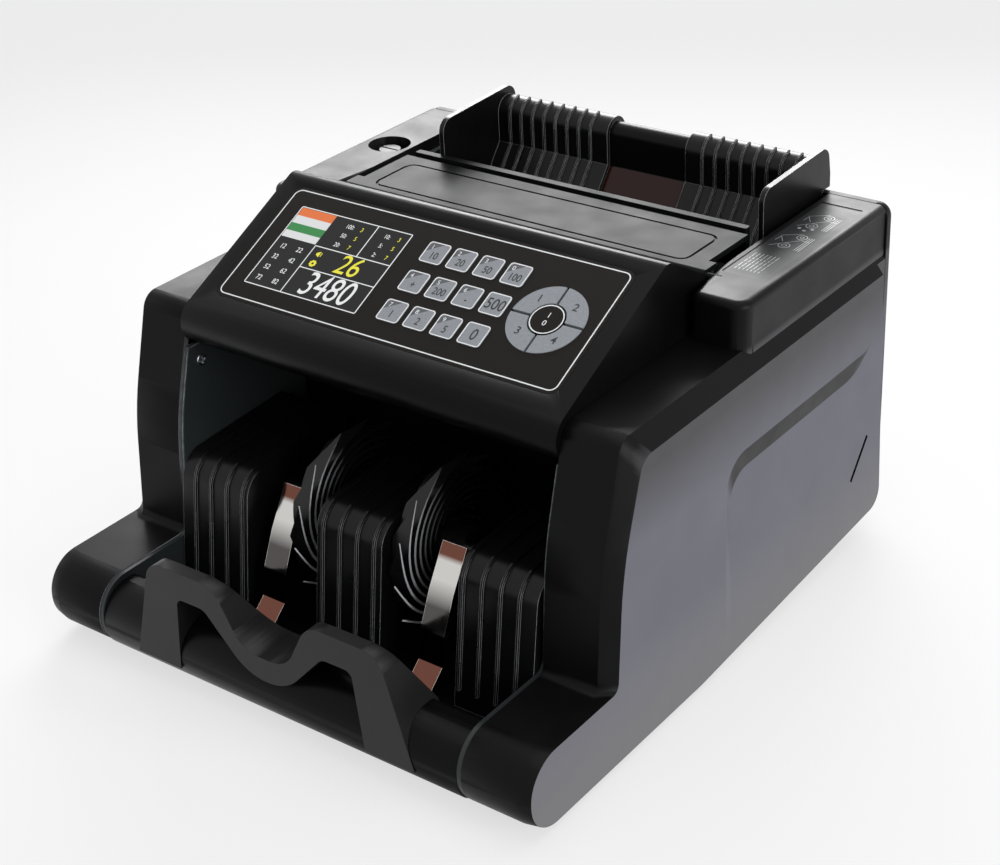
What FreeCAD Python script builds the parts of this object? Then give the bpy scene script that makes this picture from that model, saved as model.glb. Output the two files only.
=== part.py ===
import FreeCAD, Part
import math
import os
import re
from types import SimpleNamespace
from FreeCAD import Placement, Rotation, Vector

# Table-top banknote counter: two side covers with a C-shaped outline carry a sloping
# control panel between them, a hopper behind it and an open stacker bay below it.
# X runs across the machine, Y from front to rear, Z up; millimetres throughout.

doc = FreeCAD.newDocument("banknote_counter")
sheet = doc.addObject("Spreadsheet::Sheet", "sizes")

# Every size that can be chosen by itself
SIZES = {
    # whole machine
    "overall_width": 254.0,
    "overall_depth": 277.0,
    "ground_gap": 3.0,
    "seam": 0.2,
    "seat_gap": 0.1,
    # side covers
    "cover_width": 31.0,
    "cover_wall": 2.5,
    "cover_cavity": 24.5,
    "foot_height": 33.0,
    "foot_length": 53.0,
    "foot_nose_radius": 16.0,
    "foot_notch_radius": 4.0,
    "column_mid_back": 4.7,
    "column_mid_rise": 51.0,
    "column_mid_radius": 150.0,
    "column_top_back": 19.0,
    "column_top_radius": 8.0,
    "body_height": 133.0,
    "belly_start": 118.0,
    "belly_rise": 9.5,
    "bevel_width": 6.0,
    "bevel_top_drop": 8.0,
    "bevel_column_back": 5.5,
    "bevel_nose_back": 1.5,
    "cover_low_corner": 9.0,
    "recess_depth": 3.0,
    "recess_drop": 39.0,
    "recess_border": 10.0,
    "recess_front_border": 5.0,
    "recess_fade": 3.5,
    "recess_front": 136.0,
    "recess_rear_band": 7.2,
    "recess_rear_rise": 16.0,
    "recess_corner": 14.0,
    "side_slot_length": 24.0,
    "side_slot_width": 2.0,
    "side_slot_depth": 1.2,
    "side_slot_tilt": 48.0,
    "side_slot_rear": 20.0,
    "side_slot_height": 41.0,
    # blocks on the covers
    "block_height": 20.0,
    "block_lead": 15.7,
    "block_inset": 4.0,
    "block_front_lead": 18.0,
    "block_front_taper": 2.6,
    "block_corner": 7.0,
    "block_edge": 3.2,
    "block_front_corner": 4.0,
    "label_inset": 2.0,
    "label_width": 19.5,
    "label_start": 24.0,
    "label_rear": 9.5,
    "label_corner": 0.6,
    "label_depth": 0.4,
    "dial_well_radius": 10.0,
    "dial_well_depth": 6.0,
    "dial_inset": 12.0,
    "dial_back": 8.0,
    "dial_radius": 5.0,
    "dial_height": 3.6,
    "dial_shank": 2.0,
    "dial_shank_length": 12.0,
    "dial_nick": 1.2,
    "dial_nick_depth": 1.0,
    "turning_gap": 0.06,
    # rear cover
    "rear_thickness": 6.5,
    "rear_wall": 2.2,
    "rear_corner": 6.0,
    "rear_edge": 4.0,
    "vent_length": 80.0,
    "vent_right": 20.0,
    "vent_width": 2.4,
    "vent_pitch": 6.0,
    "vent_low": 70.0,
    # base and feet
    "pan_sheet": 2.0,
    "foot_pad_radius": 7.0,
    "foot_pad_side": 18.0,
    "foot_pad_front": 38.0,
    "foot_pad_rear": 26.0,
    # side frames
    "frame_sheet": 2.0,
    "frame_edge_gap": 0.4,
    "frame_right_back": 2.6,
    "frame_rear_rise": 14.0,
    "frame_corner": 3.0,
    # panel housing
    "panel_foot_y": 80.6,
    "panel_foot_rise": 6.0,
    "panel_tilt": 25.95,
    "panel_length": 70.0,
    "hood_floor_drop": 16.9,
    "hood_nose_radius": 10.0,
    "hood_ridge_radius": 6.0,
    "hood_wall": 2.5,
    "hood_rear_y": 170.5,
    "hood_rear_edge": 0.8,
    # overlay, keys and screen
    "overlay_side": 8.5,
    "overlay_height": 63.7,
    "overlay_sheet": 0.6,
    "overlay_low": -1.5,
    "overlay_corner": 5.0,
    "overlay_gap": 0.15,
    "key_side": 10.8,
    "key_corner": 1.6,
    "key_pitch_x": 13.5,
    "key_pitch_y": 15.95,
    "key_first_y": 9.04,
    "key_gap": 0.25,
    "key_proud": 0.25,
    "key_floor_gap": 0.5,
    "ring_side": 23.5,
    "ring_space": 2.8,
    "ring_y": 30.1,
    "ring_radius": 16.6,
    "ring_hole": 8.0,
    "ring_split": 1.2,
    "centre_radius": 7.2,
    "key_frame": 1.2,
    "panel_hole_gap": 0.3,
    "screen_space": 10.1,
    "screen_height": 44.3,
    "screen_side": 9.9,
    "screen_low": 8.1,
    "screen_sink": 0.1,
    "module_rim": 3.0,
    "module_depth": 4.0,
    "board_sheet": 1.6,
    "board_rim": 3.0,
    # lid
    "lid_side_gap": 6.0,
    "lid_ear": 3.6,
    "lid_ear_length": 10.5,
    "lid_sheet": 2.5,
    "lid_length": 39.5,
    "lid_lip": 5.0,
    "lid_joint": 1.3,
    "lid_proud": 1.0,
    "lid_pin_radius": 1.5,
    "lid_pin_length": 5.0,
    "lid_pin_gap": 0.5,
    "lid_groove_inset": 8.0,
    "lid_groove_front": 3.0,
    "lid_groove_width": 1.2,
    "lid_groove_depth": 0.6,
    "lid_groove_corner": 5.0,
    # feed slot bar
    "slot_gap": 1.8,
    "bar_depth": 3.7,
    "bar_side_gap": 8.5,
    "bar_height": 12.0,
    "bar_proud": 1.0,
    "bar_wing_drop": 9.0,
    "bar_wing_height": 9.0,
    # hopper
    "tray_sheet": 2.0,
    "ridge_radius": 5.2,
    "ridge_rise": 8.0,
    "ridge_rear": 7.7,
    "ridge_left_gap": 39.3,
    "ridge_right_gap": 22.8,
    "shelf_gap": 0.4,
    "curtain_height": 14.0,
    "slope_gap": 3.2,
    "slope_drop": 52.0,
    "slope_corner": 1.5,
    "window_width": 60.0,
    "window_sheet": 1.0,
    "window_start": 0.5,
    "window_length": 52.0,
    "sleeve_gap": 0.3,
    "sleeve_sheet": 2.0,
    "sleeve_length": 61.5,
    "left_guide_inset": 17.4,
    "leaf_side_gap": 0.9,
    "sleeve_short": 4.0,
    "sleeve_rear_short": 2.0,
    "rib_proud": 1.1,
    "rib_width": 0.9,
    "rib_pitch": 6.5,
    "leaf_sheet": 2.4,
    "leaf_rise": 19.5,
    "leaf_front_drop": 2.0,
    "leaf_gap": 1.0,
    "leaf_hang": 47.0,
    "leaf_corner": 6.0,
    "leaf_rear_slant": 2.2,
    "leaf_rear_height": 6.0,
    "leaf_rear_gap": 0.4,
    "rib_sink": 0.3,
    # stacker bay
    "bar_nose_radius": 14.4,
    "front_bar_height": 30.0,
    "front_bar_back": 20.5,
    "front_bar_foot": 30.5,
    "front_bar_inset": 0.4,
    "bay_floor_top": 5.5,
    "bay_floor_sheet": 2.0,
    "bay_floor_rear": 135.5,
    "bay_wall_drop": 25.0,
    "bay_corner": 3.0,
    "guide_side_gap": 0.4,
    "guide_strip_gap": 7.75,
    "guide_wheel_gap": 0.75,
    "guide_front": 46.5,
    "guide_top": 70.0,
    "guide_lean": 9.5,
    "guide_top_rise": 3.0,
    "guide_back": 118.5,
    "guide_wall": 2.5,
    "guide_rib_proud": 1.2,
    "guide_rib_width": 1.0,
    "guide_rib_pitch": 9.0,
    "guide_shaft_gap": 1.2,
    "guide_corner": 12.0,
    "guide_rib_start": 8.0,
    "guide_rib_edge": 2.0,
    "guide_rib_sink": 0.5,
    "strip_wheel_gap": 1.0,
    "strip_width": 12.0,
    "strip_sheet": 0.6,
    "strip_top": 64.0,
    "strip_top_back": 70.0,
    "strip_bulge_back": 52.0,
    "strip_bulge_height": 31.0,
    "strip_neck_back": 59.5,
    "strip_neck_height": 47.0,
    "strip_curve": 20.0,
    "strip_foot_back": 40.5,
    "strip_foot_height": 10.6,
    "strip_bend_back": 50.0,
    "strip_bend_height": 18.7,
    "strip_bend": 1.5,
    "stop_top": 58.5,
    "stop_half_width": 73.5,
    "stop_leg_width": 24.3,
    "stop_leg_top": 60.0,
    "stop_arch_drop": 13.0,
    "stop_arch_outer": 45.7,
    "stop_arch_inner": 31.0,
    "stop_hump_inner": 24.5,
    "stop_valley_half": 11.5,
    "stop_valley_corner": 14.0,
    "stop_hump_corner": 12.0,
    "stop_shoulder": 10.0,
    "stop_arch_corner": 3.5,
    "stop_arch_rise": 6.0,
    "stop_under_radius": 22.0,
    "stop_bottom": 10.0,
    "stop_valley": 33.8,
    "stop_band": 11.0,
    "stop_top_depth": 6.0,
    "stop_foot_depth": 23.0,
    # stacker wheels
    "wheel_y": 90.5,
    "wheel_height": 47.0,
    "wheel_radius": 40.0,
    "wheel_hub": 12.0,
    "wheel_width": 17.5,
    "wheel_x": 26.5,
    "blade_count": 14.0,
    "blade_arc": 26.5,
    "blade_offset": 14.5,
    "blade_root": 1.7,
    "blade_tip": 0.8,
    "blade_side_radius": 34.0,
    "shaft_radius": 4.0,
    "shaft_gap": 0.05,
    "shaft_reach": 23.0,
    # note transport
    "feed_back": 18.0,
    "feed_drop": 16.0,
    "feed_radius": 15.0,
    "feed_roller_width": 18.0,
    "feed_roller_x": 30.0,
    "pinch_radius": 8.0,
    "pinch_shaft": 3.0,
    "nip_gap": 0.5,
    "pickup_back": 40.0,
    "pickup_drop": 41.0,
    "pickup_radius": 10.0,
    "pickup_roller_width": 14.0,
    "pickup_roller_x": 24.0,
    # drive
    "motor_back": 28.0,
    "motor_height": 37.0,
    "motor_radius": 19.0,
    "motor_length": 48.0,
    "motor_shaft": 2.5,
    "motor_bore_depth": 12.0,
    "motor_pulley_radius": 8.0,
    "feed_pulley_radius": 11.0,
    "feed_stack_radius": 8.0,
    "wheel_pulley_radius": 16.0,
    "feed_pick_radius": 8.0,
    "pickup_pulley_radius": 8.0,
    "pulley_width": 5.0,
    "pulley_offset": 4.0,
    "pulley_spacing": 6.0,
    "belt_sheet": 1.2,
    "belt_width": 4.0,
    "belt_gap": 0.3,
    # electrics
    "supply_width": 62.0,
    "supply_length": 72.0,
    "supply_height": 24.0,
    "supply_side": 9.8,
    "supply_rear": 34.0,
    "circuit_width": 52.0,
    "circuit_length": 92.0,
    "board_space": 6.0,
    "board_stand": 4.0,
    "board_stand_inset": 2.0,
    "circuit_rear": 20.0,
    "circuit_lift": 6.0,
    "chip_height": 4.0,
    "chip_side": 18.0,
    "plug_length": 30.0,
    "plug_width": 8.0,
    "core_length": 26.0,
    "core_width": 24.0,
    "sink_length": 50.0,
    "sink_sheet": 4.0,
    "inlet_side": 27.8,
    "inlet_height": 34.0,
    "inlet_width": 27.6,
    "inlet_tall": 46.0,
    "inlet_depth": 26.0,
    "inlet_flange": 0.15,
    "inlet_cavity": 14.0,
    "inlet_rim": 4.0,
    "prong_sink": 5.0,
    "prong_space": 6.0,
    "prong_drop": 1.5,
    "prong_width": 2.0,
    "socket_width": 20.0,
    "socket_tall": 15.0,
    "socket_corner": 2.0,
    "rocker_width": 18.0,
    "rocker_tall": 12.0,
    "rocker_gap": 0.4,
    "rocker_room": 1.0,
    "rocker_depth": 7.0,
    "rocker_back": 4.0,
    "rocker_face": 4.4,
    "rocker_dip": 1.0,
    "rocker_narrow": 0.6,
    "rocker_edge": 1.0,
    "rocker_swing": 8.0,
    "rocker_pin": 1.2,
    "rocker_pin_length": 1.0,
    "screw_head": 2.6,
    "screw_proud": 0.9,
    "screw_low_back": 29.5,
    "screw_low_height": 22.0,
    "screw_high_back": 74.0,
    "screw_high_drop": 25.0,
}

for row, (name, number) in enumerate(SIZES.items(), start=1):
    sheet.set("A%d" % row, name)
    sheet.set("B%d" % row, str(number))
    sheet.setAlias("B%d" % row, name)
doc.recompute()
s = SimpleNamespace(**{name: float(sheet.get(name)) for name in SIZES})


# Binding a feature to the sizes

def bound(text):
    """Expression text with every name read from the sheet."""
    return re.sub(r"[a-z][a-z_0-9]*", lambda match: "sizes." + match.group(0), text)


def bind(item, field, text):
    item.setExpression(field, bound(text))


# Outlines: runs of corners (u, v, corner radius)

def unit(a, b):
    length = math.hypot(b[0] - a[0], b[1] - a[1])
    return ((b[0] - a[0]) / length, (b[1] - a[1]) / length)


def rounded(corners, chords=0):
    """Edges of a closed outline with tangent arcs at its corners, or with chords of those arcs."""
    count = len(corners)
    stops = []
    for i in range(count):
        before = corners[i - 1]
        here = corners[i]
        after = corners[(i + 1) % count]
        radius = here[2] if len(here) > 2 else 0.0
        if radius <= 1e-6:
            stops.append((here[:2], None, here[:2]))
            continue
        back = unit(here, before)
        on = unit(here, after)
        turn = math.acos(max(-1.0, min(1.0, back[0] * on[0] + back[1] * on[1])))
        run = min(math.hypot(side[0] - here[0], side[1] - here[1]) for side in (before, after))
        cut = min(radius / math.tan(turn / 2), run)
        radius = cut * math.tan(turn / 2)
        middle = unit((0, 0), (back[0] + on[0], back[1] + on[1]))
        reach = radius / math.sin(turn / 2) - radius
        start = (here[0] + back[0] * cut, here[1] + back[1] * cut)
        end = (here[0] + on[0] * cut, here[1] + on[1] * cut)
        stops.append((start, (here[0] + middle[0] * reach, here[1] + middle[1] * reach), end))
    edges = []
    for i in range(count):
        start, middle, end = stops[i]
        if middle and chords:
            curve = Part.Arc(Vector(*start, 0), Vector(*middle, 0), Vector(*end, 0))
            first = curve.FirstParameter
            step = (curve.LastParameter - first) / chords
            points = [curve.value(first + step * k) for k in range(chords + 1)]
            if points[0].distanceToPoint(Vector(*start, 0)) > 1e-6:
                points.reverse()
            edges += [Part.LineSegment(points[k], points[k + 1]) for k in range(chords)]
        elif middle:
            edges.append(Part.Arc(Vector(*start, 0), Vector(*middle, 0), Vector(*end, 0)))
        follow = stops[(i + 1) % count][0]
        if math.hypot(follow[0] - end[0], follow[1] - end[1]) > 1e-6:
            edges.append(Part.LineSegment(Vector(*end, 0), Vector(*follow, 0)))
    return edges


def crossing(p, d, q, e):
    """Point where the line p + t d meets the line q + t e."""
    cross = d[0] * e[1] - d[1] * e[0]
    t = ((q[0] - p[0]) * e[1] - (q[1] - p[1]) * e[0]) / cross
    return (p[0] + d[0] * t, p[1] + d[1] * t)


def shifted(corners, moves, ring):
    """Run of corners with each side moved to its left by its own distance."""
    count = len(corners)
    sides = []
    for i in range(count if ring else count - 1):
        a = corners[i]
        b = corners[(i + 1) % count]
        d = unit(a, b)
        move = moves[i] if isinstance(moves, (list, tuple)) else moves
        sides.append(((a[0] - d[1] * move, a[1] + d[0] * move), d, move))
    result = []
    for i in range(count):
        radius = corners[i][2] if len(corners[i]) > 2 else 0.0
        if not ring and i == 0:
            result.append((sides[0][0][0], sides[0][0][1], 0.0))
            continue
        if not ring and i == count - 1:
            p, d, move = sides[-1]
            a = corners[i]
            result.append((a[0] - d[1] * move, a[1] + d[0] * move, 0.0))
            continue
        p, d, move = sides[i - 1]
        q, e, other = sides[i]
        cross = d[0] * e[1] - d[1] * e[0]
        point = crossing(p, d, q, e)
        step = (move + other) / 2
        if radius > 0:
            radius = max(0.0, radius - step if cross > 0 else radius + step)
        result.append((point[0], point[1], radius))
    return result


def band(path, near, far):
    """Closed sheet outline between two parallels of an open run."""
    return shifted(path, near, False) + list(reversed(shifted(path, far, False)))


def rectangle(u0, v0, u1, v1, radius=0.0):
    return [(u0, v0, radius), (u1, v0, radius), (u1, v1, radius), (u0, v1, radius)]


def circle(u, v, radius):
    return [Part.Circle(Vector(u, v, 0), Vector(0, 0, 1), radius)]


# Features

PLANES = {"X": ("YZ_Plane", 1), "Y": ("XZ_Plane", -1), "Z": ("XY_Plane", 1)}
nodes = []


def new_body(label):
    body = doc.addObject("PartDesign::Body", label)
    body.Label = label
    nodes.append(body)
    return body


def origin_item(body, role):
    return [item for item in body.Origin.OriginFeatures if item.Role == role][0]


def sketch(body, axis, edges, at):
    """Sketch square to an axis, at a place along it given in sizes."""
    role, sense = PLANES[axis]
    item = body.newObject("Sketcher::SketchObject", body.Label + "_sketch")
    item.AttachmentSupport = (origin_item(body, role), [""])
    item.MapMode = "FlatFace"
    item.addGeometry(edges, False)
    bind(item, "AttachmentOffset.Base.z", at if sense > 0 else "-1 * (" + at + ")")
    return item


def panel_sketch(body, edges, level):
    """Sketch parallel to the sloping panel, level millimetres above its face."""
    item = body.newObject("Sketcher::SketchObject", body.Label + "_sketch")
    item.AttachmentSupport = (origin_item(body, "XY_Plane"), [""])
    item.MapMode = "FlatFace"
    item.addGeometry(edges, False)
    tilt = Rotation(Vector(1, 0, 0), s.panel_tilt)
    base = Vector(0, panel_y, panel_z) + tilt.multVec(Vector(0, 0, level))
    item.AttachmentOffset = Placement(base, tilt)
    return item


def pad(body, profile, length, way=1):
    """Add material from a sketch along the positive or negative axis."""
    item = body.newObject("PartDesign::Pad", body.Label + "_pad")
    item.Profile = profile
    bind(item, "Length", length)
    item.Reversed = way * side_of(profile) < 0
    return item


def cut(body, profile, length, way=1):
    """Remove material from a sketch along the positive or negative axis."""
    item = body.newObject("PartDesign::Pocket", body.Label + "_cut")
    item.Profile = profile
    bind(item, "Length", length)
    item.Reversed = way * side_of(profile) > 0
    return item


def both_ways(item):
    item.SideType = "Symmetric"
    return item


def side_of(profile):
    role = profile.AttachmentSupport[0][0].Role
    return -1 if role == "XZ_Plane" else 1


def edges_where(item, test):
    """Names of the edges whose every point passes the test."""
    doc.recompute()
    names = []
    for i, edge in enumerate(item.Shape.Edges, start=1):
        span = edge.LastParameter - edge.FirstParameter
        points = [edge.valueAt(edge.FirstParameter + span * k / 4) for k in range(5)]
        if all(test(point) for point in points):
            names.append("Edge%d" % i)
    return names


def fillet(body, item, names, radius):
    result = body.newObject("PartDesign::Fillet", body.Label + "_fillet")
    result.Base = (item, names)
    bind(result, "Radius", radius)
    return result


def rod(label, radius, length, x, y, z, axis="X"):
    """Cylinder along an axis, from a start point given in sizes."""
    item = doc.addObject("Part::Cylinder", label)
    bind(item, "Radius", radius)
    bind(item, "Height", length)
    turn = {"X": Rotation(Vector(0, 1, 0), 90), "Y": Rotation(Vector(1, 0, 0), -90), "Z": Rotation()}
    item.Placement = Placement(Vector(0, 0, 0), turn[axis])
    bind(item, "Placement.Base.x", x)
    bind(item, "Placement.Base.y", y)
    bind(item, "Placement.Base.z", z)
    return item


def block(label, length, width, height, x, y, z):
    item = doc.addObject("Part::Box", label)
    bind(item, "Length", length)
    bind(item, "Width", width)
    bind(item, "Height", height)
    bind(item, "Placement.Base.x", x)
    bind(item, "Placement.Base.y", y)
    bind(item, "Placement.Base.z", z)
    return item


def joined(label, parts):
    item = doc.addObject("Part::MultiFuse", label)
    item.Shapes = parts
    item.Label = label
    nodes.append(item)
    return item


def grouped(label, parts):
    item = doc.addObject("Part::Compound", label)
    item.Links = parts
    item.Label = label
    nodes.append(item)
    return item


# Places that follow from the sizes

half_width = s.overall_width / 2
front = -s.overall_depth / 2
rear = s.overall_depth / 2
floor = s.ground_gap
inner = half_width - s.cover_width
hood_half = inner - s.seam
frame_out = inner - s.seam
frame_in = frame_out - s.frame_sheet
body_top = floor + s.body_height
block_top = body_top + s.block_height
rear_split = rear - s.rear_thickness
cover_rear = rear_split - s.seam
foot_top = floor + s.foot_height
column_foot = front + s.foot_length
panel_y = front + s.panel_foot_y
panel_z = body_top + s.panel_foot_rise
tilt_cos = math.cos(math.radians(s.panel_tilt))
tilt_sin = math.sin(math.radians(s.panel_tilt))
ridge_y = panel_y + s.panel_length * tilt_cos
ridge_z = panel_z + s.panel_length * tilt_sin
hood_bottom = body_top - s.hood_floor_drop
hood_rear = front + s.hood_rear_y
block_front = hood_rear - s.block_lead
lid_z = block_top + s.lid_proud
lid_half = inner - s.lid_side_gap
lid_pivot_y = hood_rear + s.lid_joint + s.lid_sheet
lid_pivot_z = lid_z - s.lid_sheet
lid_rear = lid_pivot_y + s.lid_length
bar_front = lid_rear + s.slot_gap
bar_rear = bar_front + s.bar_depth
dial_x = -(inner + s.dial_inset)
dial_y = lid_rear + s.dial_back
over_x = hood_half - s.overlay_side
over_low = s.overlay_low
over_high = s.overlay_low + s.overlay_height
ring_x = over_x - s.ring_side
key_span = 3 * s.key_pitch_x + s.key_side
key_first_x = ring_x - s.ring_radius - s.ring_space - key_span
keys_high = s.key_first_y + 2 * s.key_pitch_y + s.key_side
screen_left = s.screen_side - over_x
screen_width = key_first_x - s.screen_space - screen_left
floor_z = floor + s.bay_floor_top
wheel_y = front + s.wheel_y
wheel_z = floor + s.wheel_height
strip_x = s.wheel_x + s.wheel_width / 2 + s.strip_wheel_gap
guide_outer = frame_in - s.guide_side_gap
guide_inner = strip_x + s.strip_width + s.guide_strip_gap
guide_centre = s.wheel_x - s.wheel_width / 2 - s.guide_wheel_gap
feed_y = hood_rear + s.feed_back
feed_z = body_top - s.feed_drop
pinch_z = feed_z + s.feed_radius + s.nip_gap + s.pinch_radius
pickup_y = hood_rear + s.pickup_back
pickup_z = body_top - s.pickup_drop
motor_y = hood_rear + s.motor_back
motor_z = floor + s.motor_height
inlet_x = frame_in - s.inlet_side

# The same places as text, for the features that are bound to the sheet
INNER = "(overall_width / 2 - cover_width)"
FRAME_OUT = "(" + INNER + " - seam)"
FRAME_IN = "(" + FRAME_OUT + " - frame_sheet)"
BETWEEN = "2 * (" + FRAME_IN + " - seam)"
FRONT = "(-1 * overall_depth / 2)"
REAR = "(overall_depth / 2)"
SPLIT = "(overall_depth / 2 - rear_thickness)"
BLOCK_TOP = "(ground_gap + body_height + block_height)"
LID_TOP = "(" + BLOCK_TOP + " + lid_proud)"
LID_WIDTH = "2 * (" + INNER + " - lid_side_gap)"
FOOT_X = "(" + INNER + " - foot_pad_side)"
STRIP_X = "(wheel_x + wheel_width / 2 + strip_wheel_gap)"
GUIDE_OUTER = "(" + FRAME_IN + " - guide_side_gap)"
GUIDE_INNER = "(" + STRIP_X + " + strip_width + guide_strip_gap)"
GUIDE_CENTRE = "(wheel_x - wheel_width / 2 - guide_wheel_gap)"
SLEEVE_LEFT = "-1 * (" + FRAME_IN + " - left_guide_inset - leaf_sheet)"
SLEEVE_RIGHT = "(" + FRAME_IN + " - leaf_side_gap - leaf_sheet)"
HOOD_REAR = "(" + FRONT + " + hood_rear_y)"
PULLEY = "(" + INNER + " + pulley_offset)"
SECOND = "(" + PULLEY + " + pulley_spacing)"
THIRD = "(" + PULLEY + " + 2 * pulley_spacing)"
SUPPLY_X = "(supply_side - " + FRAME_IN + ")"
CIRCUIT_X = "(" + SUPPLY_X + " + supply_width + board_space)"
INLET_X = "(" + FRAME_IN + " - inlet_side)"

# Length by which a cutting outline runs past the edge it leaves
PAST = 20.0


# Side covers

def cover_outline(nose_back, column_back, top_drop):
    """C-shaped side outline; the bevelled outer face is a little smaller."""
    top = body_top - top_drop
    nose = front + nose_back
    return [
        (nose, floor, s.foot_nose_radius),
        (front + s.belly_start, floor, 0.0),
        (cover_rear, floor + s.belly_rise, s.cover_low_corner),
        (cover_rear, top, 0.0),
        (column_foot + s.column_top_back + column_back, top, s.column_top_radius),
        (column_foot + s.column_mid_back + column_back, foot_top + s.column_mid_rise, s.column_mid_radius),
        (column_foot + column_back, foot_top, s.foot_notch_radius),
        (nose, foot_top, s.foot_nose_radius),
    ]


def side_cover(label, side):
    body = new_body(label)
    mark = "" if side > 0 else "-1 * "
    full = cover_outline(0.0, 0.0, 0.0)
    small = cover_outline(s.bevel_nose_back, s.bevel_column_back, s.bevel_top_drop)
    start = sketch(body, "X", rounded(full), mark + INNER)
    pad(body, start, "cover_width - bevel_width", side)
    low = sketch(body, "X", rounded(full), mark + "(overall_width / 2 - bevel_width)")
    high = sketch(body, "X", rounded(small), mark + "(overall_width / 2)")
    bevel = body.newObject("PartDesign::AdditiveLoft", label + "_bevel")
    bevel.Profile = low
    bevel.Sections = [high]
    bevel.Ruled = True

    # raised block behind the column, its inner face drawn in towards the panel
    outer_x = half_width - s.block_inset
    plan = [
        (inner + s.block_front_taper, block_front, s.block_front_corner),
        (outer_x, block_front, s.block_corner),
        (outer_x, cover_rear, 0.0),
        (inner, cover_rear, 0.0),
        (inner, block_front + s.block_front_lead, 0.0),
    ]
    plan = [(side * x, y, r) for x, y, r in plan]
    base = sketch(body, "Z", rounded(plan), "ground_gap + body_height - cover_wall")
    top = pad(body, base, "block_height + cover_wall", 1)
    names = edges_where(top, lambda p: abs(p.z - block_top) < 0.01 and p.y < cover_rear - 0.01)
    fillet(body, top, names, "block_edge")

    # shell open towards the frame
    inside = shifted(full, s.cover_wall, True)
    hollow = sketch(body, "X", rounded(inside), mark + INNER)
    cut(body, hollow, "cover_cavity", side)

    # sunken field on the outer face, deepest under its sloping top border, fading out below
    field_top = body_top - s.recess_drop
    field_front = front + s.recess_front
    field_low = floor + s.recess_fade
    band_y = cover_rear - s.recess_rear_band
    turn = s.recess_rear_rise
    level = field_top + turn
    lean = math.atan(s.recess_depth / (level - field_low))
    end_y = cover_rear + s.seam
    edge = [(field_front, field_low, 0.0), (end_y, field_low, 0.0), (end_y, level, 0.0),
            (band_y, level, 0.0), (band_y, field_top, turn), (field_front, field_top, s.recess_corner)]
    step = s.recess_border
    side_step = s.recess_front_border
    deep = [(field_front + side_step, s.seam, 0.0), (end_y, s.seam, 0.0),
            (end_y, level - field_low, 0.0), (band_y + s.seam, level - field_low, 0.0),
            (band_y + s.seam, field_top - field_low - step, turn + step),
            (field_front + side_step, field_top - field_low - step, s.recess_corner)]
    rim_edge = sketch(body, "X", rounded(edge), mark + "(overall_width / 2)")
    ground = body.newObject("Sketcher::SketchObject", label + "_sketch")
    ground.AttachmentSupport = (origin_item(body, "YZ_Plane"), [""])
    ground.MapMode = "FlatFace"
    ground.addGeometry(rounded(deep), False)
    tilt = Rotation(Vector(1, 0, 0), -side * math.degrees(lean))
    ground.AttachmentOffset = Placement(Vector(0, field_low, 0), tilt)
    bind(ground, "AttachmentOffset.Base.z", mark + "(overall_width / 2)")
    sink = body.newObject("PartDesign::SubtractiveLoft", label + "_recess")
    sink.Profile = rim_edge
    sink.Sections = [ground]
    sink.Ruled = True
    strip = rectangle(band_y, level - s.seam, cover_rear + PAST, block_top + PAST)
    strip_face = sketch(body, "X", rounded(strip), mark + "(overall_width / 2)")
    cut(body, strip_face, "recess_depth", -side)

    # slanted slot low on the rear of the field
    half = s.side_slot_length / 2 - s.side_slot_width / 2
    mid_y = cover_rear - s.side_slot_rear
    mid_z = floor + s.side_slot_height
    lean = math.radians(s.side_slot_tilt)
    along = (math.cos(lean), math.sin(lean))
    across = (-along[1] * s.side_slot_width / 2, along[0] * s.side_slot_width / 2)
    ends = [(mid_y + sign * along[0] * half, mid_z + sign * along[1] * half) for sign in (-1, 1)]
    shape = [(ends[0][0] + across[0], ends[0][1] + across[1]), (ends[0][0] - across[0], ends[0][1] - across[1]),
             (ends[1][0] - across[0], ends[1][1] - across[1]), (ends[1][0] + across[0], ends[1][1] + across[1])]
    slot = sketch(body, "X", rounded(shape), mark + "(overall_width / 2)")
    cut(body, slot, "side_slot_depth + recess_depth * 0.5", -side)

    # bearing hole for the pin of the lid
    pin = sketch(body, "X", circle(lid_pivot_y, lid_pivot_z, s.lid_pin_radius + s.shaft_gap), mark + INNER)
    cut(body, pin, "lid_pin_length", side)

    if side > 0:
        # shallow field for the printed label
        x0 = inner + s.label_inset
        y0 = block_front + s.label_start
        plate = rectangle(x0, y0, x0 + s.label_width, cover_rear - s.label_rear, s.label_corner)
        mark_plate = sketch(body, "Z", rounded(plate), BLOCK_TOP)
        cut(body, mark_plate, "label_depth", -1)
    else:
        # well with the threaded hole of the gap screw
        well = sketch(body, "Z", circle(dial_x, dial_y, s.dial_well_radius), BLOCK_TOP)
        cut(body, well, "dial_well_depth", -1)
        bore = sketch(body, "Z", circle(dial_x, dial_y, s.dial_shank + s.turning_gap), BLOCK_TOP)
        cut(body, bore, "dial_well_depth + dial_shank_length + 1", -1)
    return body


side_cover("side_cover_left", -1)
side_cover("side_cover_right", 1)

# Gap screw in the well of the left block
screw = new_body("gap_screw")
well_floor = "(" + BLOCK_TOP + " - dial_well_depth)"
head = sketch(screw, "Z", circle(dial_x, dial_y, s.dial_radius), well_floor + " + seat_gap")
top = pad(screw, head, "dial_height", 1)
stem = sketch(screw, "Z", circle(dial_x, dial_y, s.dial_shank), well_floor + " + seat_gap")
pad(screw, stem, "dial_shank_length", -1)
nick = rectangle(dial_x - s.dial_radius - 1, dial_y - s.dial_nick / 2,
                 dial_x + s.dial_radius + 1, dial_y + s.dial_nick / 2)
nick_face = sketch(screw, "Z", rounded(nick), well_floor + " + seat_gap + dial_height")
cut(screw, nick_face, "dial_nick_depth", -1)


# Rear cover

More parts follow.
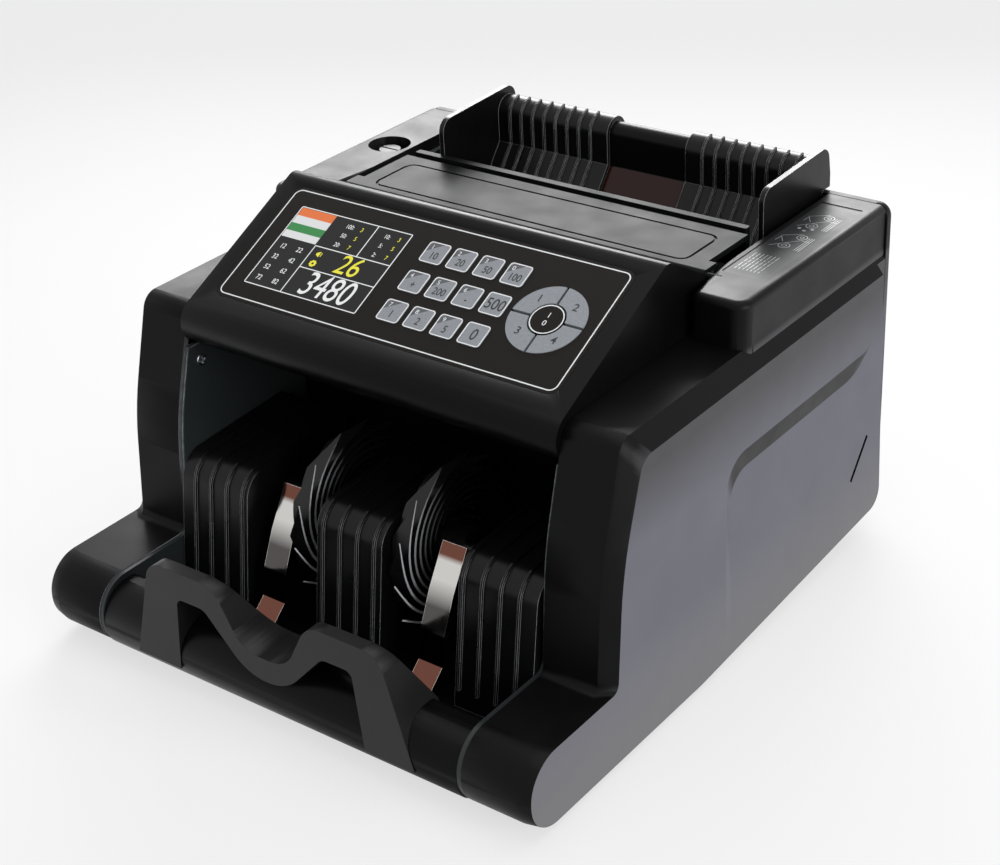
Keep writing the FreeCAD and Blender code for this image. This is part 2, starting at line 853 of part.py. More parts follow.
rear_half = half_width - s.recess_depth
rear_low = floor + s.belly_rise
cover = new_body("rear_cover")
outline = [
    (-rear_half, rear_low, 0.0),
    (rear_half, rear_low, 0.0),
    (rear_half, block_top, s.rear_corner),
    (-rear_half, block_top, s.rear_corner),
]
plate = sketch(cover, "Y", rounded(outline), SPLIT)
shell = pad(cover, plate, "rear_thickness", 1)
names = edges_where(shell, lambda p: abs(p.y - rear) < 0.01)
low_names = edges_where(shell, lambda p: abs(p.z - rear_low) < 0.01)
names = [name for name in names if name not in low_names]
fillet(cover, shell, names, "rear_edge")
hollow = sketch(cover, "Y", rounded(shifted(outline, s.rear_wall + s.rear_edge / 2, True)), SPLIT)
cut(cover, hollow, "rear_thickness - rear_wall", 1)
port_x = s.inlet_width / 2 + s.inlet_flange
port_z = s.inlet_tall / 2 + s.inlet_flange
inlet_z = floor + s.inlet_height
port = rectangle(inlet_x - port_x, inlet_z - port_z, inlet_x + port_x, inlet_z + port_z)
window = sketch(cover, "Y", rounded(port), SPLIT)
cut(cover, window, "rear_thickness", 1)
for i in range(6):
    z = floor + s.vent_low + s.vent_pitch * i
    slit = rectangle(s.vent_right - s.vent_length, z, s.vent_right, z + s.vent_width)
    vent = sketch(cover, "Y", rounded(slit), REAR)
    cut(cover, vent, "rear_wall", -1)


# Base pan and rubber feet

pan = new_body("base_pan")
pan_front = front + s.front_bar_inset + s.front_bar_foot + s.seam
pan_rear = rear_split - s.seam
pan_half = frame_in - s.seam
bottom = sketch(pan, "Z", rounded(rectangle(-pan_half, pan_front, pan_half, pan_rear)), "ground_gap")
pad(pan, bottom, "bay_floor_top - bay_floor_sheet", 1)
tub = shifted(rectangle(-pan_half, pan_front, pan_half, pan_rear), s.pan_sheet, True)
inside = sketch(pan, "Z", rounded(tub), "ground_gap + pan_sheet")
cut(pan, inside, "bay_floor_top - bay_floor_sheet - pan_sheet", 1)

pads = []
for i, (sign, y) in enumerate([("-1 * ", FRONT + " + foot_pad_front"), ("", FRONT + " + foot_pad_front"),
                               ("-1 * ", REAR + " - foot_pad_rear"), ("", REAR + " - foot_pad_rear")]):
    pads.append(rod("foot_pad_%d" % (i + 1), "foot_pad_radius", "ground_gap", sign + FOOT_X, y, "0", "Z"))
grouped("rubber_feet", pads)


# Side frames: sheets that close the covers and carry the shafts

def side_frame(label, side):
    body = new_body(label)
    gap = s.frame_edge_gap
    column_gap = s.frame_right_back if side > 0 else gap
    tall = body_top + s.frame_rear_rise
    step = hood_rear + s.seam
    full = cover_outline(0.0, 0.0, 0.0)
    edge = shifted(full, [gap, gap, gap, gap, column_gap, column_gap, gap, gap], True)
    nose, belly, low_rear, high_rear, shoulder, mid, notch, foot = edge
    lean = (mid[0] - shoulder[0]) / (mid[1] - shoulder[1])
    outline = [
        nose, belly, low_rear,
        (low_rear[0], tall, s.frame_corner),
        (step, tall, 0.0),
        (step, hood_bottom, 0.0),
        (shoulder[0] + lean * (hood_bottom - shoulder[1]), hood_bottom, 0.0),
        mid, notch, foot,
    ]
    mark = "" if side > 0 else "-1 * "
    sheet_side = sketch(body, "X", rounded(outline), mark + FRAME_IN)
    pad(body, sheet_side, "frame_sheet", side)
    holes = []
    for y, z, radius in [(wheel_y, wheel_z, s.shaft_radius), (feed_y, feed_z, s.shaft_radius),
                         (feed_y, pinch_z, s.pinch_shaft), (pickup_y, pickup_z, s.shaft_radius)]:
        holes += circle(y, z, radius + s.shaft_gap)
    if side > 0:
        holes += circle(motor_y, motor_z, s.motor_shaft + s.shaft_gap)
    bores = sketch(body, "X", holes, mark + FRAME_IN)
    cut(body, bores, "frame_sheet", side)
    return body


side_frame("side_frame_left", -1)
side_frame("side_frame_right", 1)


# Panel housing

housing = new_body("panel_housing")
lead = (panel_z - hood_bottom) / math.tan(math.radians(s.panel_tilt))
hood = [
    (panel_y - lead, hood_bottom, s.hood_nose_radius),
    (hood_rear, hood_bottom, 0.0),
    (hood_rear, lid_z, s.hood_rear_edge),
    (ridge_y, ridge_z, s.hood_ridge_radius),
]
side_view = sketch(housing, "X", rounded(hood), "0")
both_ways(pad(housing, side_view, "2 * " + FRAME_OUT))
core = sketch(housing, "X", rounded(shifted(hood, s.hood_wall, True)), "0")
both_ways(cut(housing, core, "2 * (" + FRAME_OUT + " - hood_wall)"))

gap = s.overlay_gap
well = rectangle(-over_x - gap, over_low - gap, over_x + gap, over_high + gap, s.overlay_corner + gap)
seat = panel_sketch(housing, rounded(well), 0.0)
cut(housing, seat, "overlay_sheet", -1)
keyhole = rectangle(key_first_x - s.key_frame, s.key_first_y - s.key_frame,
                    key_first_x + key_span + s.key_frame, keys_high + s.key_frame)
screen = rectangle(screen_left - gap, s.screen_low - gap,
                   screen_left + screen_width + gap, s.screen_low + s.screen_height + gap)
ring_hole = circle(ring_x, s.ring_y, s.ring_radius + s.key_gap + s.panel_hole_gap)
openings = rounded(keyhole) + ring_hole + rounded(screen)
through = panel_sketch(housing, openings, 0.0)
cut(housing, through, "hood_wall + seam", -1)


# Pieces of the control panel, drawn flat and laid on the slope

def on_panel(body):
    body.Placement = Placement(Vector(0, 0, 0), Rotation(Vector(1, 0, 0), 1))
    bind(body, "Placement.Base.y", FRONT + " + panel_foot_y")
    bind(body, "Placement.Base.z", "ground_gap + body_height + panel_foot_rise")
    bind(body, "Placement.Rotation.Angle", "panel_tilt")
    return body


overlay = on_panel(new_body("keypad_overlay"))
film = rounded(rectangle(-over_x, over_low, over_x, over_high, s.overlay_corner)) + rounded(screen)
key_places = {}
key_names = [["key_7", "key_8", "key_9", "key_clear"],
             ["key_4", "key_5", "key_6", "key_batch"],
             ["key_1", "key_2", "key_3", "key_0"]]
for row in range(3):
    for column in range(4):
        x = key_first_x + column * s.key_pitch_x
        y = s.key_first_y + row * s.key_pitch_y
        key_places[key_names[row][column]] = (x, y)
        hole = rectangle(x, y, x + s.key_side, y + s.key_side, s.key_corner)
        film += rounded(shifted(hole, -s.key_gap, True), 2)
film += circle(ring_x, s.ring_y, s.ring_radius + s.key_gap)
sheet_face = sketch(overlay, "Z", film, "0")
pad(overlay, sheet_face, "overlay_sheet", -1)

KEY_LENGTH = "hood_wall - key_floor_gap + key_proud"


def key(label, edges):
    body = on_panel(new_body(label))
    face = sketch(body, "Z", edges, "key_proud")
    pad(body, face, KEY_LENGTH, -1)
    return body


for name, (x, y) in key_places.items():
    key(name, rounded(rectangle(x, y, x + s.key_side, y + s.key_side, s.key_corner), 2))


def ring_key(label, right, up):
    half = s.ring_split / 2
    near = math.sqrt(s.ring_hole ** 2 - half ** 2)
    far = math.sqrt(s.ring_radius ** 2 - half ** 2)
    diagonal = math.sqrt(0.5)

    def point(u, v):
        return Vector(ring_x + right * u, s.ring_y + up * v, 0)

    edges = [
        Part.LineSegment(point(half, near), point(half, far)),
        Part.Arc(point(half, far), point(s.ring_radius * diagonal, s.ring_radius * diagonal), point(far, half)),
        Part.LineSegment(point(far, half), point(near, half)),
        Part.Arc(point(near, half), point(s.ring_hole * diagonal, s.ring_hole * diagonal), point(half, near)),
    ]
    return key(label, edges)


ring_key("pad_up_left", -1, 1)
ring_key("pad_up_right", 1, 1)
ring_key("pad_down_left", -1, -1)
ring_key("pad_down_right", 1, -1)
key("pad_centre", circle(ring_x, s.ring_y, s.centre_radius))

board = on_panel(new_body("keypad_board"))
rim = s.board_rim
card = rectangle(key_first_x - rim, s.key_first_y - rim, ring_x + s.ring_radius + rim, keys_high + rim)
card_face = sketch(board, "Z", rounded(card), "-1 * hood_wall")
pad(board, card_face, "board_sheet", -1)

module = on_panel(new_body("display_module"))
glass = rectangle(screen_left, s.screen_low, screen_left + screen_width, s.screen_low + s.screen_height)
glass_face = sketch(module, "Z", rounded(glass), "-1 * screen_sink")
pad(module, glass_face, "hood_wall - screen_sink", -1)
rim = s.module_rim
back = rectangle(screen_left - rim, s.screen_low - rim, screen_left + screen_width + rim,
                 s.screen_low + s.screen_height + rim)
back_face = sketch(module, "Z", rounded(back), "-1 * hood_wall")
pad(module, back_face, "module_depth", -1)


# Lid over the feed rollers, turning on two pins behind the panel housing

lid = new_body("top_lid")
t = s.lid_sheet
knuckle = [
    (lid_pivot_y - t, lid_pivot_z + t, t * 0.98),
    (lid_pivot_y - t, lid_pivot_z - t, t * 0.98),
    (lid_pivot_y + t, lid_pivot_z - t, t * 0.98),
    (lid_pivot_y + t, lid_pivot_z, 0.0),
]
leaf = knuckle + [
    (lid_rear - t, lid_pivot_z, 0.0),
    (lid_rear - t, lid_z - s.lid_lip, 0.0),
    (lid_rear, lid_z - s.lid_lip, 0.0),
    (lid_rear, lid_z, 1.0),
]
lid_side = sketch(lid, "X", rounded(leaf), "0")
both_ways(pad(lid, lid_side, LID_WIDTH))
ear = knuckle + [
    (lid_pivot_y + s.lid_ear_length - t, lid_pivot_z, 0.0),
    (lid_pivot_y + s.lid_ear_length - t, lid_z, 0.0),
]
ears = sketch(lid, "X", rounded(ear), "0")
both_ways(pad(lid, ears, LID_WIDTH + " + 2 * lid_ear"))
pins = sketch(lid, "X", circle(lid_pivot_y, lid_pivot_z, s.lid_pin_radius), "0")
both_ways(pad(lid, pins, "2 * (" + INNER + " + lid_pin_length - lid_pin_gap)"))
inset = s.lid_groove_inset
loop = rectangle(-lid_half + inset, lid_pivot_y + s.lid_groove_front, lid_half - inset, lid_rear - inset,
                 s.lid_groove_corner)
groove = sketch(lid, "Z", rounded(loop, 3) + rounded(shifted(loop, s.lid_groove_width, True), 3), LID_TOP)
cut(lid, groove, "lid_groove_depth", -1)


# Bar behind the lid: the notes pass in front of it

bar = new_body("feed_gap_bar")
bar_half = inner - s.bar_side_gap
rail = rectangle(-bar_half, bar_front, bar_half, bar_rear, s.hood_rear_edge)
rail_top = sketch(bar, "Z", rounded(rail, 2), LID_TOP + " + bar_proud")
pad(bar, rail_top, "bar_height", -1)
wing = rectangle(-frame_in, bar_front, frame_in, bar_rear)
wings = sketch(bar, "Z", rounded(wing), LID_TOP + " + bar_proud - bar_wing_drop")
pad(bar, wings, "bar_wing_height", -1)


# Hopper: a slope and a shelf between the frames, with a round ridge standing on the shelf

ridge_back = rear - s.ridge_rear
ridge_up = block_top + s.ridge_rise
rr = s.ridge_radius
shelf_z = ridge_up - s.curtain_height
ridge_path = [
    (ridge_back + rr, block_top, 0.0),
    (ridge_back + rr, ridge_up + rr, rr * 0.99),
    (ridge_back - rr, ridge_up + rr, rr * 0.99),
    (ridge_back - rr, shelf_z, s.slope_corner),
    (bar_rear + s.slope_gap, shelf_z - s.slope_drop, 0.0),
]
shelf_path = [(rear_split - s.shelf_gap, shelf_z, 0.0), ridge_path[3], ridge_path[4]]
slope = unit(ridge_path[3], ridge_path[4])
slope_top = ridge_path[3][:2]


def on_slope(distance, lift=0.0):
    """Point down the slope from its upper corner, lifted off its face."""
    return (slope_top[0] + slope[0] * distance + slope[1] * lift,
            slope_top[1] + slope[1] * distance - slope[0] * lift)


tray = new_body("hopper_tray")
tray_side = sketch(tray, "X", rounded(band(shelf_path, 0.0, s.tray_sheet)), "0")
both_ways(pad(tray, tray_side, BETWEEN))
ridge_run = ridge_path[:3] + [(ridge_back - rr, shelf_z - s.tray_sheet / 2, 0.0)]
ridge_side = sketch(tray, "X", rounded(band(ridge_run, 0.0, s.tray_sheet)), FRAME_IN + " - ridge_right_gap")
pad(tray, ridge_side, "2 * " + FRAME_IN + " - ridge_left_gap - ridge_right_gap", -1)
pane = [on_slope(s.window_start), on_slope(s.window_start + s.window_length),
        on_slope(s.window_start + s.window_length, -s.window_sheet), on_slope(s.window_start, -s.window_sheet)]
sink = sketch(tray, "X", rounded(pane), "0")
both_ways(cut(tray, sink, "window_width + 2 * seat_gap"))

window = new_body("hopper_window")
pane_side = sketch(window, "X", rounded(pane), "0")
both_ways(pad(window, pane_side, "window_width"))


def hopper_guide(label, side):
    """Ribbed sleeve riding on the ridge, with an upright leaf at its outer end."""
    body = new_body(label)
    outer = SLEEVE_LEFT if side < 0 else SLEEVE_RIGHT
    path = list(ridge_path)
    path[0] = (path[0][0], path[0][1] + s.sleeve_rear_short, 0.0)
    slope_length = math.hypot(slope_top[0] - path[4][0], slope_top[1] - path[4][1])
    path[4] = on_slope(slope_length - s.sleeve_short)
    low = -s.sleeve_gap
    high = -s.sleeve_gap - s.sleeve_sheet
    sleeve = sketch(body, "X", rounded(band(path, low, high)), outer)
    pad(body, sleeve, "sleeve_length", -side)
    count = int((s.sleeve_length - s.rib_pitch / 2) // s.rib_pitch)
    ribs = [(ridge_back, ridge_up + rr, 0.0)] + path[2:]
    rib_outline = rounded(band(ribs, high + s.rib_sink, high - s.rib_proud), 3)
    first = outer + (" + " if side < 0 else " - ") + "rib_pitch"
    rib = sketch(body, "X", rib_outline, first)
    one = pad(body, rib, "rib_width", -side)
    row = body.newObject("PartDesign::LinearPattern", label + "_ribs")
    row.Originals = [one]
    row.Direction = (origin_item(body, "X_Axis"), [""])
    row.Reversed = side > 0
    bind(row, "Length", "rib_pitch * %d" % (count - 1))
    row.Occurrences = count
    body.Tip = row
    leaf_front = bar_rear + s.leaf_gap
    leaf_top = block_top + s.leaf_rise
    step = rear_split - s.leaf_rear_gap
    clear = block_top + s.leaf_rear_gap
    shelf = shifted(shelf_path, -s.sleeve_gap, False)
    shape = [
        (leaf_front, leaf_top - s.leaf_front_drop, s.leaf_corner),
        (rear - s.leaf_rear_slant, leaf_top, s.leaf_corner),
        (rear, clear + s.leaf_rear_height, 0.0),
        (rear, clear, 0.0),
        (step, clear, 0.0),
        (step, shelf[0][1], 0.0),
        shelf[1],
        shelf[2][:2],
        (leaf_front, block_top - s.leaf_hang, 0.0),
    ]
    leaf_side = sketch(body, "X", rounded(shape), outer)
    pad(body, leaf_side, "leaf_sheet", side)
    return body


hopper_guide("hopper_guide_left", -1)
hopper_guide("hopper_guide_right", 1)


# Front bar and stop of the stacker bay

def bar_outline(grow=0.0):
    nose = front + s.front_bar_inset
    high = floor + s.front_bar_height
    corners = [
        (nose, floor, s.bar_nose_radius),
        (nose + s.front_bar_foot, floor, 0.0),
        (nose + s.front_bar_foot, floor + s.bay_floor_top, 0.0),
        (nose + s.front_bar_back, high, 3.0),
        (nose, high, s.bar_nose_radius),
    ]
    return shifted(corners, -grow, True) if grow else corners


front_bar = new_body("front_bar")
bar_side = sketch(front_bar, "X", rounded(bar_outline()), "0")
both_ways(pad(front_bar, bar_side, "2 * " + FRAME_IN))

stop = new_body("stop_bracket")
high = floor + s.stop_top
low = floor + s.stop_bottom
leg = s.stop_half_width
arch = high - s.stop_arch_drop
valley = floor + s.stop_valley
right = [
    (s.stop_valley_half, valley, s.stop_valley_corner),
    (s.stop_hump_inner, high, s.stop_hump_corner),
    (s.stop_leg_top, high, s.stop_shoulder),
    (leg, low, 0.0),
    (leg - s.stop_leg_width, low, 0.0),
    (s.stop_arch_outer, arch, s.stop_arch_corner),
    (s.stop_arch_inner, arch, s.stop_arch_rise),
    (s.stop_valley_half - 1.5, valley - s.stop_band, s.stop_under_radius),
]
loop = right + [(-x, z, r) for x, z, r in reversed(right)]
face = sketch(stop, "Y", rounded(loop), FRONT)
pad(stop, face, "stop_foot_depth + stop_top_depth", 1)
behind = [
    (front + s.stop_top_depth, high + PAST),
    (front + s.stop_top_depth, high),
    (front + s.stop_foot_depth, floor + s.front_bar_height - 1.0),
    (front + s.stop_foot_depth, low - PAST),
    (front + s.stop_foot_depth + PAST, low - PAST),
    (front + s.stop_foot_depth + PAST, high + PAST),
]
wedge = sketch(stop, "X", rounded(behind), "0")
both_ways(cut(stop, wedge, "4 * stop_half_width"))
seat = sketch(stop, "X", rounded(bar_outline(s.seat_gap)), "0")
both_ways(cut(stop, seat, "4 * stop_half_width"))


# Bay floor with its rear wall

bay = new_body("bay_floor")
nose = front + s.front_bar_inset
back_y = front + s.bay_floor_rear
wall_z = body_top - s.bay_wall_drop
t = s.bay_floor_sheet
el = [
    (nose + s.front_bar_foot, floor_z - t, 0.0),
    (back_y + t, floor_z - t, 0.0),
    (back_y + t, wall_z, 0.0),
    (back_y, wall_z, 0.0),
    (back_y, floor_z, s.bay_corner),
    (nose + s.front_bar_foot, floor_z, 0.0),
]
bay_side = sketch(bay, "X", rounded(el), "0")
both_ways(pad(bay, bay_side, "2 * " + FRAME_IN))


# Ribbed guides beside and between the wheels

guide_y = front + s.guide_front
guide_rear = front + s.guide_back
guide_path = [
    (guide_y, floor_z, 0.0),
    (guide_y + s.guide_lean, floor + s.guide_top, s.guide_corner),
    (guide_rear, floor + s.guide_top + s.guide_top_rise, 0.0),
]


def stacker_guide(label, x0, x1, first, count):
    """Ribbed box of thin walls, open below and behind; x0 and x1 are texts in sizes."""
    body = new_body(label)
    width = "(" + x1 + ") - (" + x0 + ")"
    solid = sketch(body, "X", rounded(guide_path + [(guide_rear, floor_z, 0.0)]), x0)
    pad(body, solid, width, 1)
    inside = shifted(guide_path, -s.guide_wall, False)
    inside[0] = (inside[0][0], floor_z - 1.0, 0.0)
    inside[-1] = (inside[-1][0] + 1.0, inside[-1][1], 0.0)
    inside.append((guide_rear + 1.0, floor_z - 1.0, 0.0))
    cave = sketch(body, "X", rounded(inside, 4), x0 + " + guide_wall")
    cut(body, cave, width + " - 2 * guide_wall", 1)
    bore = sketch(body, "X", circle(wheel_y, wheel_z, s.shaft_radius + s.guide_shaft_gap), x0)
    cut(body, bore, width, 1)
    start = guide_path[0]
    along = s.guide_rib_start / s.guide_top * s.guide_lean
    run = [(start[0] + along, start[1] + s.guide_rib_start, 0.0)] + guide_path[1:]
    strip = rounded(band(run, -s.guide_rib_sink, s.guide_rib_proud), 5)
    rib = sketch(body, "X", strip, first)
    one = pad(body, rib, "guide_rib_width", 1)
    row = body.newObject("PartDesign::LinearPattern", label + "_ribs")
    row.Originals = [one]
    row.Direction = (origin_item(body, "X_Axis"), [""])
    bind(row, "Length", "guide_rib_pitch * %d" % (count - 1))
    row.Occurrences = count
    body.Tip = row


side_count = int((guide_outer - guide_inner - 2 * s.guide_rib_edge) // s.guide_rib_pitch) + 1
centre_count = int((2 * guide_centre - 2 * s.guide_rib_edge) // s.guide_rib_pitch) + 1
side_run = "guide_rib_pitch * %d" % (side_count - 1)
centre_run = "guide_rib_pitch * %d" % (centre_count - 1)
stacker_guide("stacker_guide_left", "-1 * " + GUIDE_OUTER, "-1 * " + GUIDE_INNER,
              "-1 * " + GUIDE_INNER + " - guide_rib_edge - guide_rib_width - " + side_run, side_count)
stacker_guide("stacker_guide_right", GUIDE_INNER, GUIDE_OUTER, GUIDE_INNER + " + guide_rib_edge", side_count)
stacker_guide("stacker_guide_centre", "-1 * " + GUIDE_CENTRE, GUIDE_CENTRE,
              "-1 * (" + centre_run + " + guide_rib_width) / 2", centre_count)


# Bright spring strips in front of the guides

def spring_strip(label, x):
    body = new_body(label)
    toe = front + s.strip_foot_back
    path = [
        (toe, floor_z, 0.0),
        (toe, floor + s.strip_foot_height, s.strip_bend),
        (front + s.strip_bend_back, floor + s.strip_bend_height, s.strip_bend),
        (front + s.strip_bulge_back, floor + s.strip_bulge_height, s.strip_curve),
        (front + s.strip_neck_back, floor + s.strip_neck_height, s.strip_curve),
        (front + s.strip_top_back, floor + s.strip_top, 0.0),
    ]
    ribbon = sketch(body, "X", rounded(band(path, 0.0, -s.strip_sheet)), x)
    pad(body, ribbon, "strip_width", 1)
    return body


spring_strip("strip_left", "-1 * (" + STRIP_X + " + strip_width)")
spring_strip("strip_right", STRIP_X)


# Stacker wheels: each blade follows half a circle from the hub to its tip

def blade_outline(chords):
    """Blade in the plane of the wheel, thinner towards its tip, in chords of two arcs."""
    reach = (s.wheel_radius ** 2 - s.blade_offset ** 2 - s.blade_arc ** 2) / (2 * s.blade_offset * s.blade_arc)
    tip_turn = math.acos(reach)
    sides = []
    for way in (0.5, -0.5):
        run = []
        for k in range(chords + 1):
            turn = math.pi + (tip_turn - math.pi) * k / chords
            radius = s.blade_arc + way * (s.blade_root + (s.blade_tip - s.blade_root) * k / chords)
            run.append((s.blade_offset + radius * math.cos(turn), radius * math.sin(turn)))
        sides.append(run)
    return sides[0] + sides[1][::-1]


def wheel(label, side):
    body = new_body(label)
    start = "-1 * wheel_width / 2"
    hub = sketch(body, "X", circle(0, 0, s.wheel_hub), start)
    pad(body, hub, "wheel_width", 1)
    vane = sketch(body, "X", rounded(blade_outline(8)), start)
    one = pad(body, vane, "wheel_width", 1)
    fan = body.newObject("PartDesign::PolarPattern", label + "_blades")
    fan.Originals = [one]
    fan.Axis = (origin_item(body, "X_Axis"), [""])
    fan.Angle = 360
    bind(fan, "Occurrences", "blade_count")
    body.Tip = fan
    half = s.wheel_width / 2
    rim = s.wheel_radius + s.blade_root
    slant = [(-half, s.blade_side_radius), (half, s.wheel_radius), (half, rim), (-half, rim)]
    trim = body.newObject("PartDesign::Groove", label + "_trim")
    trim.Profile = sketch(body, "Y", rounded(slant), "0")
    trim.ReferenceAxis = (origin_item(body, "X_Axis"), [""])
    trim.Angle = 360
    bore = sketch(body, "X", circle(0, 0, s.shaft_radius), start)
    cut(body, bore, "wheel_width", 1)
    bind(body, "Placement.Base.x", "wheel_x" if side > 0 else "-1 * wheel_x")
    bind(body, "Placement.Base.y", FRONT + " + wheel_y")
    bind(body, "Placement.Base.z", "ground_gap + wheel_height")
    return body


wheel("impeller_left", -1)
wheel("impeller_right", 1)

SHAFT_START = "-1 * " + FRAME_OUT
SHAFT_LENGTH = "2 * " + FRAME_OUT + " + shaft_reach"
WHEEL_Y = FRONT + " + wheel_y"
WHEEL_Z = "ground_gap + wheel_height"
FEED_Y = HOOD_REAR + " + feed_back"
FEED_Z = "ground_gap + body_height - feed_drop"
PINCH_Z = FEED_Z + " + feed_radius + nip_gap + pinch_radius"
PICK_Y = HOOD_REAR + " + pickup_back"
PICK_Z = "ground_gap + body_height - pickup_drop"
MOTOR_Y = HOOD_REAR + " + motor_back"
MOTOR_Z = "ground_gap + motor_height"

nodes.append(rod("impeller_shaft", "shaft_radius", SHAFT_LENGTH, SHAFT_START, WHEEL_Y, WHEEL_Z))
pulley = new_body("impeller_pulley")
rings = circle(wheel_y, wheel_z, s.wheel_pulley_radius) + circle(wheel_y, wheel_z, s.shaft_radius)
rim_face = sketch(pulley, "X", rings, SECOND)
pad(pulley, rim_face, "pulley_width", 1)

joined("feed_shaft", [
    rod("feed_rod", "shaft_radius", SHAFT_LENGTH, SHAFT_START, FEED_Y, FEED_Z),
    rod("feed_pulley_inner", "feed_pulley_radius", "pulley_width", PULLEY, FEED_Y, FEED_Z),
    rod("feed_pulley_middle", "feed_stack_radius", "pulley_width", SECOND, FEED_Y, FEED_Z),
    rod("feed_pulley_outer", "feed_pick_radius", "pulley_width", THIRD, FEED_Y, FEED_Z)])


def rollers(label, radius, shaft, width, x, y, z):
    """Two rubber rings on a shaft."""
    parts = []
    for i, sign in enumerate(("-1 * ", "")):
        place = sign + x + " - " + width + " / 2"
        tyre = rod("%s_tyre_%d" % (label, i + 1), radius, width, place, y, z)
        hole = rod("%s_hole_%d" % (label, i + 1), shaft, width, place, y, z)
        ring = doc.addObject("Part::Cut", "%s_ring_%d" % (label, i + 1))
        ring.Base = tyre
        ring.Tool = hole
        parts.append(ring)
    return parts


grouped("feed_rollers", rollers(
    "feed", "feed_radius", "shaft_radius", "feed_roller_width", "feed_roller_x", FEED_Y, FEED_Z))
pinch_start = "feed_roller_x - feed_roller_width / 2"
pickup_start = "pickup_roller_x - pickup_roller_width / 2"
joined("pinch_rollers", [
    rod("pinch_rod", "pinch_shaft", "2 * " + FRAME_OUT, SHAFT_START, FEED_Y, PINCH_Z),
    rod("pinch_tyre_left", "pinch_radius", "feed_roller_width", "-2 * feed_roller_x + " + pinch_start, FEED_Y, PINCH_Z),
    rod("pinch_tyre_right", "pinch_radius", "feed_roller_width", pinch_start, FEED_Y, PINCH_Z)])
joined("pickup_rollers", [
    rod("pickup_rod", "shaft_radius", SHAFT_LENGTH, SHAFT_START, PICK_Y, PICK_Z),
    rod("pickup_tyre_left", "pickup_radius", "pickup_roller_width",
        "-2 * pickup_roller_x + " + pickup_start, PICK_Y, PICK_Z),
    rod("pickup_tyre_right", "pickup_radius", "pickup_roller_width", pickup_start, PICK_Y, PICK_Z),
    rod("pickup_pulley", "pickup_pulley_radius", "pulley_width", THIRD, PICK_Y, PICK_Z)])


# Motor, pulleys and belts

motor = new_body("main_motor")
can = sketch(motor, "X", circle(motor_y, motor_z, s.motor_radius), FRAME_IN)
pad(motor, can, "motor_length", -1)
socket = sketch(motor, "X", circle(motor_y, motor_z, s.motor_shaft + s.shaft_gap), FRAME_IN)
cut(motor, socket, "motor_bore_depth", -1)

joined("motor_pulley", [
    rod("motor_rod", "motor_shaft", "motor_bore_depth - 1 + frame_sheet + seam + pulley_offset + pulley_width",
        FRAME_IN + " - motor_bore_depth + 1", MOTOR_Y, MOTOR_Z),
    rod("motor_sheave", "motor_pulley_radius", "pulley_width", PULLEY, MOTOR_Y, MOTOR_Z)])


BELT_CHORDS = 8


def belt_sheet(a, ra, b, rb):
    """Outer and inner loops of an open belt round two pulleys, in chords round each pulley."""
    loops = []
    for grow in (s.belt_gap + s.belt_sheet, s.belt_gap):
        dy = b[0] - a[0]
        dz = b[1] - a[1]
        heading = math.atan2(dz, dy)
        spread = math.acos((ra - rb) / math.hypot(dy, dz))
        points = []
        for centre, radius, start, end in ((b, rb + grow, heading + spread, heading - spread),
                                           (a, ra + grow, heading - spread, heading + spread - 2 * math.pi)):
            step = (end - start) / BELT_CHORDS
            radius = radius / math.cos(step / 2)
            angles = [start + step * (k + 0.5) for k in range(BELT_CHORDS)]
            points += [(centre[0] + radius * math.cos(w), centre[1] + radius * math.sin(w)) for w in angles]
        loops += rounded(points)
    return loops


FEED = (feed_y, feed_z)


def belt(label, low, low_radius, feed_radius, x):
    body = doc.addObject("PartDesign::Body", label)
    body.Label = label
    loop = sketch(body, "X", belt_sheet(low, low_radius, FEED, feed_radius), x + " + (pulley_width - belt_width) / 2")
    pad(body, loop, "belt_width", 1)
    return body


grouped("drive_belts", [
    belt("main_belt", (motor_y, motor_z), s.motor_pulley_radius, s.feed_pulley_radius, PULLEY),
    belt("stacker_belt", (wheel_y, wheel_z), s.wheel_pulley_radius, s.feed_stack_radius, SECOND),
    belt("pickup_belt", (pickup_y, pickup_z), s.pickup_pulley_radius, s.feed_pick_radius, THIRD)])


# Power supply and main board on the base pan

pan_top = "(ground_gap + pan_sheet)"
card_z = pan_top + " + circuit_lift"
supply_y = "(" + REAR + " - supply_rear)"
circuit_y = "(" + REAR + " - circuit_rear)"
far_corner = " - board_stand - board_stand_inset"
joined("power_supply", [
    block("supply_card", "supply_width", "supply_length", "board_sheet",
          SUPPLY_X, supply_y + " - supply_length", card_z),
    block("supply_stand_1", "board_stand", "board_stand", "circuit_lift",
          SUPPLY_X + " + board_stand_inset", supply_y + " - supply_length + board_stand_inset", pan_top),
    block("supply_stand_2", "board_stand", "board_stand", "circuit_lift",
          SUPPLY_X + " + supply_width" + far_corner, supply_y + far_corner, pan_top),
    block("supply_core", "core_length", "core_width", "supply_height",
          SUPPLY_X + " + supply_width / 8", supply_y + " - supply_length / 2", card_z),
    block("supply_sink", "sink_sheet", "sink_length", "supply_height",
          SUPPLY_X + " + supply_width * 3 / 4", supply_y + " - supply_length / 2 - sink_length / 2", card_z)])
